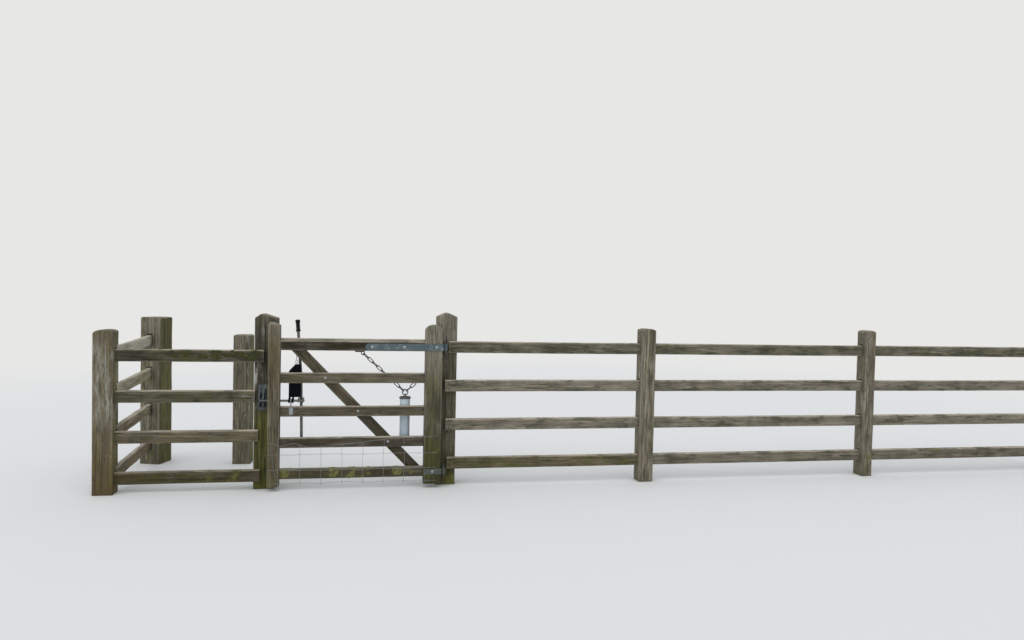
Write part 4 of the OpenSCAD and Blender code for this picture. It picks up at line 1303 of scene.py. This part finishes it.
def bolt_guide():
    """A staple on the third rail that holds the bolt down."""
    middle, radius = bolt_axis()
    rail_top = node_box("third_rail").high.z
    legs = 2 * (radius + GUIDE_WIRE + GUIDE_PLAY)
    staple = staple_shape(legs, middle.z - rail_top + legs / 2, GUIDE_WIRE)
    place = Matrix.Translation((BOLT_GUIDE_X, middle.y, rail_top)) @ Matrix.Rotation(math.radians(90), 4, "Z")
    add_piece("bolt_guide_staple", [placed(staple, place)], LEAF, "pale_steel")


def housing_knob():
    """The spring's rod and the knob that stand on the latch housing."""
    place = Matrix.Translation((*HOUSING_ROD_PLACE, node_box("latch_housing").high.z - 1 * MM))
    knob = [(0, 0), (6, 0), (6, 4), (9, 7), (11.5, 14), (12, 20), (10.5, 27), (7, 32), (3, 34), (0, 34.4)]
    rod = [(0, 33), (2.5, 33), (2.5, 63), (1.5, 65), (0, 65)]
    knob_shape = turned_shape([(r * MM, h * MM) for r, h in knob], 24)
    rod_shape = turned_shape([(r * MM, h * MM) for r, h in rod], 10)
    add_piece("housing_knob", [placed(knob_shape, place)], LEAF, "white_knob")
    add_piece("housing_rod", [placed(rod_shape, place)], LEAF, "pale_steel")


def closer_weight():
    """The weight's body: a turned can with a rolled foot, a seam and small dents."""
    box = node_box("closer_weight")
    radius, height = box.size.x / 2, box.size.z
    profile = [(0, 0), (radius - 7 * MM, 0), (radius - 3 * MM, 1.2 * MM), (radius - 0.6 * MM, 4 * MM)]
    for i in range(WEIGHT_ROWS):
        z = 6 * MM + (height - 8 * MM) * i / (WEIGHT_ROWS - 1)
        bead = 0.9 * MM * math.exp(-((z - 14 * MM) / (3 * MM)) ** 2)
        seam = 0.7 * MM * math.exp(-((z - height + 22 * MM) / (2 * MM)) ** 2)
        profile.append((radius - 1.2 * MM + bead - seam, z))
    profile += [(radius - 1.5 * MM, height), (0, height)]
    vertices, faces = turned_shape(profile, WEIGHT_SIDES)
    for v in vertices:
        out = Vector((v.x, v.y, 0))
        if out.length > radius * 0.8:
            dent = max(0.0, noise.noise(v * 17.0 + Vector((4, 1, 0))) - 0.35) * 3.0 * MM
            v -= out.normalized() * (dent + 0.25 * MM * noise.noise(v * 60.0))
    can = placed((vertices, faces), standing(box.middle, box.low.z))
    piece = add_piece("weight_body", [can], "hanging_weight", "weight")
    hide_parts("closer_weight")


# Netting

NETTING_WIRE = 1.3 * MM
LINE_HEIGHTS = (58 * MM, 150 * MM, 262 * MM)
STAY_SPACING = 146 * MM
STAY_SWAY = 7 * MM
WRAP_RADIUS = 2.3 * MM
WRAP_LENGTH = 7 * MM
# The ends of the loose wire that slants down by the slam stile, from the netting's left edge and the ground
SLANT_TOP = Vector((16 * MM, 0, 330 * MM))
SLANT_FOOT = Vector((60 * MM, 0, 48 * MM))
# The loose top wire's places along the leaf and its heights there, in mm
LOOSE_WIRE = ((-1257, 347), (-1164, 324), (-1081, 342), (-976, 314), (-860, 317), (-765, 331), (-626, 342),
              (-496, 358), (-409, 368), (-278, 375), (-60, 380))


def wander(x, z, reach):
    """How far a wire strays at a place on the leaf."""
    return reach * noise.noise((x * 6.0, z * 9.0, 2.0)) + 0.4 * reach * noise.noise((x * 25.0, z * 9.0, 7.0))


def line_wire(z):
    return lambda x: z + wander(x, z, 6 * MM)


def loose_wire(x):
    """The loose top wire sags between its staples and climbs along the fourth rail."""
    last = len(LOOSE_WIRE) - 1
    after = next(i for i in range(1, last + 1) if x <= LOOSE_WIRE[i][0] * MM or i == last)
    (x0, z0), (x1, z1) = LOOSE_WIRE[after - 1:after + 1]
    t = min(1.0, max(0.0, (x / MM - x0) / (x1 - x0)))
    return (z0 + (z1 - z0) * t * t * (3 - 2 * t)) * MM + wander(x, 0.4, 2 * MM)


def stay_wires(stay, face, lines):
    """An upright wire, and the two turns with which it grips each line wire."""
    def sway(z):
        return stay + wander(stay + z, 1.0, STAY_SWAY)

    foot, head = lines[0](stay) - 16 * MM, lines[-1](stay)
    heights = [foot + (head - foot) * i / 24 for i in range(25)]
    shapes = [wire_shape([(sway(z), face - 2.2 * MM, z) for z in heights], NETTING_WIRE * 0.85)]
    for line in lines:
        z = line(stay)
        wrap = []
        for i in range(17):
            angle = 2 * math.pi * i / 8
            wrap.append((sway(z) + (i / 16 - 0.5) * WRAP_LENGTH, face + WRAP_RADIUS * math.cos(angle),
                         z + WRAP_RADIUS * math.sin(angle)))
        shapes.append(wire_shape(wrap, NETTING_WIRE * 0.8, 5))
    return shapes


def netting():
    """Sheep netting on the leaf's front: slack line wires, stay wires wrapped round them, and staples."""
    box = node_box("wire_netting")
    left, right = box.low.x, box.high.x
    face = box.middle.y
    lines = [line_wire(z) for z in LINE_HEIGHTS] + [loose_wire]
    xs = [left + (right - left) * i / 90 for i in range(91)]
    shapes = []
    for line in lines:
        points = [(x, face + 1.0 * MM * math.sin(x * 31), line(x)) for x in xs]
        shapes.append(wire_shape(points, NETTING_WIRE))
    stay = left + 0.5 * STAY_SPACING
    while stay < node_box("hanging_stile").low.x + 20 * MM:
        shapes += stay_wires(stay, face, lines)
        stay += STAY_SPACING
    slant = []
    for i in range(31):
        place = SLANT_TOP.lerp(SLANT_FOOT, i / 30)
        slant.append((left + place.x + wander(i / 30, 3.0, 5 * MM), face, place.z))
    shapes.append(wire_shape(slant, NETTING_WIRE))
    rng = random.Random(3)
    for line in lines:
        for x in (left + 22 * MM, right - 70 * MM, right - 14 * MM):
            spot = Vector((x + rng.uniform(-5, 5) * MM, face + 1.2 * MM, line(x)))
            spin = math.radians(90) + rng.uniform(-0.5, 0.5)
            shapes.append(set_at(staple_shape(7 * MM, 4.5 * MM, 1.3 * MM), spot, TO_FRONT, spin))
    piece = add_piece("netting_wires", shapes, LEAF, "wire")
    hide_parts("wire_netting")


# Moss

CUSHION_RINGS = 9
CUSHION_SIDES = 34
CUSHION_RIM_SUNK = 1.2 * MM
# Places of the bottom rail's moss along the leaf, and their widths, in mm
BOTTOM_RAIL_MOSS = ((-1131, 94), (-808, 94), (-678, 83), (-560, 30), (-359, 70), (-250, 36))


def moss_cushion(rng, width, height, thick):
    """A low ragged dome on the XY plane."""
    seed = rng.uniform(0, 100)
    vertices = [Vector((0, 0, thick))]
    for i in range(1, CUSHION_RINGS + 1):
        t = i / CUSHION_RINGS
        for k in range(CUSHION_SIDES):
            angle = 2 * math.pi * k / CUSHION_SIDES
            c, s = math.cos(angle), math.sin(angle)
            ragged = 1 + 0.42 * noise.noise((c * 1.6 + seed, s * 1.6, 0))
            ragged += 0.2 * noise.noise((c * 5 + seed, s * 5, 3))
            x, y = width / 2 * t * ragged * c, height / 2 * t * ragged * s
            lump = 0.75 + 0.7 * noise.noise((x * 120 + seed, y * 120, 1.0))
            sunk = CUSHION_RIM_SUNK if i == CUSHION_RINGS else 0.0
            vertices.append(Vector((x, y, thick * (1 - t ** 2.5) * lump - sunk)))
    faces = [(0, 1 + k, 1 + (k + 1) % CUSHION_SIDES) for k in range(CUSHION_SIDES)]
    faces += [(a, d, c, b) for a, b, c, d in ring_faces(CUSHION_RINGS, CUSHION_SIDES, 1)]
    return vertices, faces


def moss():
    rng = random.Random(14)
    rail = node_box("bottom_rail")
    shapes = []
    for x, width in BOTTOM_RAIL_MOSS:
        for _ in range(6):
            along = x * MM + rng.uniform(-0.35, 0.35) * width * MM
            spot = Vector((along, rail.low.y, rail.low.z + rng.uniform(16, 60) * MM))
            size = width * rng.uniform(0.35, 0.75) * MM
            shapes.append(set_at(moss_cushion(rng, size, min(size * 0.7, 34 * MM), 3.5 * MM), spot, TO_FRONT))
        spot = Vector((x * MM, rail.middle.y, rail.high.z - 0.5 * MM))
        shapes.append(set_at(moss_cushion(rng, width * MM, 20 * MM, 5 * MM), spot, UP))
    add_piece("bottom_rail_moss", shapes, LEAF, "moss")

    shapes = []
    rail = points_box(islands("pen_front_rails")[0])
    for _ in range(22):
        along = rail.low.x + (0.35 + 0.6 * rng.random() ** 0.7) * rail.size.x
        size = rng.uniform(18, 60) * MM
        spot = Vector((along, rail.low.y, rail.low.z + rng.uniform(0.3, 0.9) * rail.size.z))
        shapes.append(set_at(moss_cushion(rng, size * 1.5, min(size * 0.6, 26 * MM), 3 * MM), spot, TO_FRONT))
    add_piece("pen_rail_moss", shapes, ROOT, "dark_moss")


# Ironwork kept from the frame

STRAP_PLATE = 6.1 * MM
STRAP_PROUD = 0.1 * MM
STRAP_BEND = (-66 * MM, -36 * MM)

# Finish and edge wear, in mm, of each node that isn't timber
IRONWORK = {
    "top_hook": ("old_galvanised", 0.8), "bottom_hook": ("old_galvanised", 0.8),
    "latch_catch": ("blued_galvanised", 1.0), "post_chain_eye": ("chain", 0),
    "top_hinge_strap": ("strap", 0.8), "bottom_hinge_band": ("old_galvanised", 0.8),
    "chain_bracket": ("dark_iron", 0.6), "latch_housing": ("black_paint", 0.8),
    "lever_bracket": ("old_galvanised", 0.6), "oval_plate": ("pale_steel", 0.6),
    "latch_lever": ("lever", 0), "lever_grip": ("grip", 0.5), "latch_bolt": ("lever", 0.6),
    "leaf_chain": ("chain", 0), "post_chain": ("chain", 0), "weight_lid": ("lid", 0.8),
    "weight_ring": ("chain", 0), "closer_weight": ("weight", 0), "wire_netting": ("wire", 0),
}


def soften(obj, width):
    """Rounds the edges of ironwork so that they catch the light as worn ones do."""
    weld = obj.modifiers.new("close_seams", "WELD")
    weld.merge_threshold = 0.01 * MM
    bevel = obj.modifiers.new("worn_edges", "BEVEL")
    bevel.width = width
    bevel.segments = 2
    bevel.limit_method = "ANGLE"
    bevel.angle_limit = math.radians(38)
    shading = obj.modifiers.new("shading", "WEIGHTED_NORMAL")
    shading.keep_sharp = False


def strap_corners():
    """Squares off the top strap's two plates where they meet the bend at the hanging stile."""
    box = node_box("top_hinge_strap")
    left, right = STRAP_BEND
    low_z, high_z = box.low.z - STRAP_PROUD, box.high.z + STRAP_PROUD
    plates = ((box.low.y - STRAP_PROUD, box.low.y + STRAP_PLATE),
              (box.high.y - STRAP_PLATE, box.high.y + STRAP_PROUD))
    shapes = [box_shape((left, front, low_z), (right, back, high_z)) for front, back in plates]
    piece = add_piece("strap_corners", shapes, LEAF, "strap", smooth=False)
    soften(piece, 0.6 * MM)


def dress_ironwork():
    for node, (finish, wear) in IRONWORK.items():
        dress(nodes[node], finish)
        if wear:
            soften(nodes[node], wear * MM)


# Studio

BACKDROP = (0.80, 0.80, 0.79)
FLOOR_PALE = (0.76, 0.76, 0.755)
SKY_GLOW = (0.93, 0.96, 1.0)
FLOOR_MIDDLE = (1.5, 0.0, 0.0)


def seen_directly(f):
    """1 for what the camera, a reflection or a clear surface sees, 0 for light that reaches the object."""
    camera, glossy, transmission = f.node("LightPath", output=(0, 3, 6))
    return f.largest(f.largest(camera, glossy), transmission)


def glow(f, kind, colour, strength):
    return f.node(kind, inputs={"Color": (*colour, 1.0), "Strength": strength})


def floor():
    """A pale floor that keeps the shadows and fades into the backdrop's colour far from the gate."""
    plane = mesh_object("floor", ([(-80, -60, 0), (80, -60, 0), (80, 80, 0), (-80, 80, 0)], [(0, 1, 2, 3)]))
    f = Finish("floor")
    distance = f.length(f.vectors("SUBTRACT", f.object_place(), FLOOR_MIDDLE))
    lit = f.node("BsdfDiffuse", inputs={"Color": (*FLOOR_PALE, 1.0)})
    plain = glow(f, "Emission", BACKDROP, 1.0)
    far = f.step(distance, 6.0, 13.0) * seen_directly(f)
    f.node("OutputMaterial", inputs={"Surface": f.node("MixShader", inputs={0: far, 1: lit, 2: plain})})
    plane.data.materials.append(f.owner)


def studio():
    world = bpy.data.worlds.new("studio")
    bpy.context.scene.world = world
    f = Finish("studio", world)
    lit = glow(f, "Background", SKY_GLOW, 0.75)
    plain = glow(f, "Background", BACKDROP, 1.0)
    chosen = f.node("MixShader", inputs={0: seen_directly(f), 1: lit, 2: plain})
    f.node("OutputWorld", inputs={"Surface": chosen})
    sky = bpy.data.lights.new("soft_sky", "SUN")
    sky.energy = 1.0
    sky.angle = math.radians(70)
    lamp = in_scene("soft_sky", sky)
    lamp.rotation_euler = (math.radians(28), math.radians(-16), 0)
    bpy.context.scene.view_settings.view_transform = "Standard"


make_camera()
standing_work()
stiles()
leaf_rails()
brace()
leaf_bolts()
plate_screws()
hook_plate_nails()
rail_nails()
bolt_guide()
housing_knob()
closer_weight()
netting()
moss()
strap_corners()
dress_ironwork()
floor()
studio()
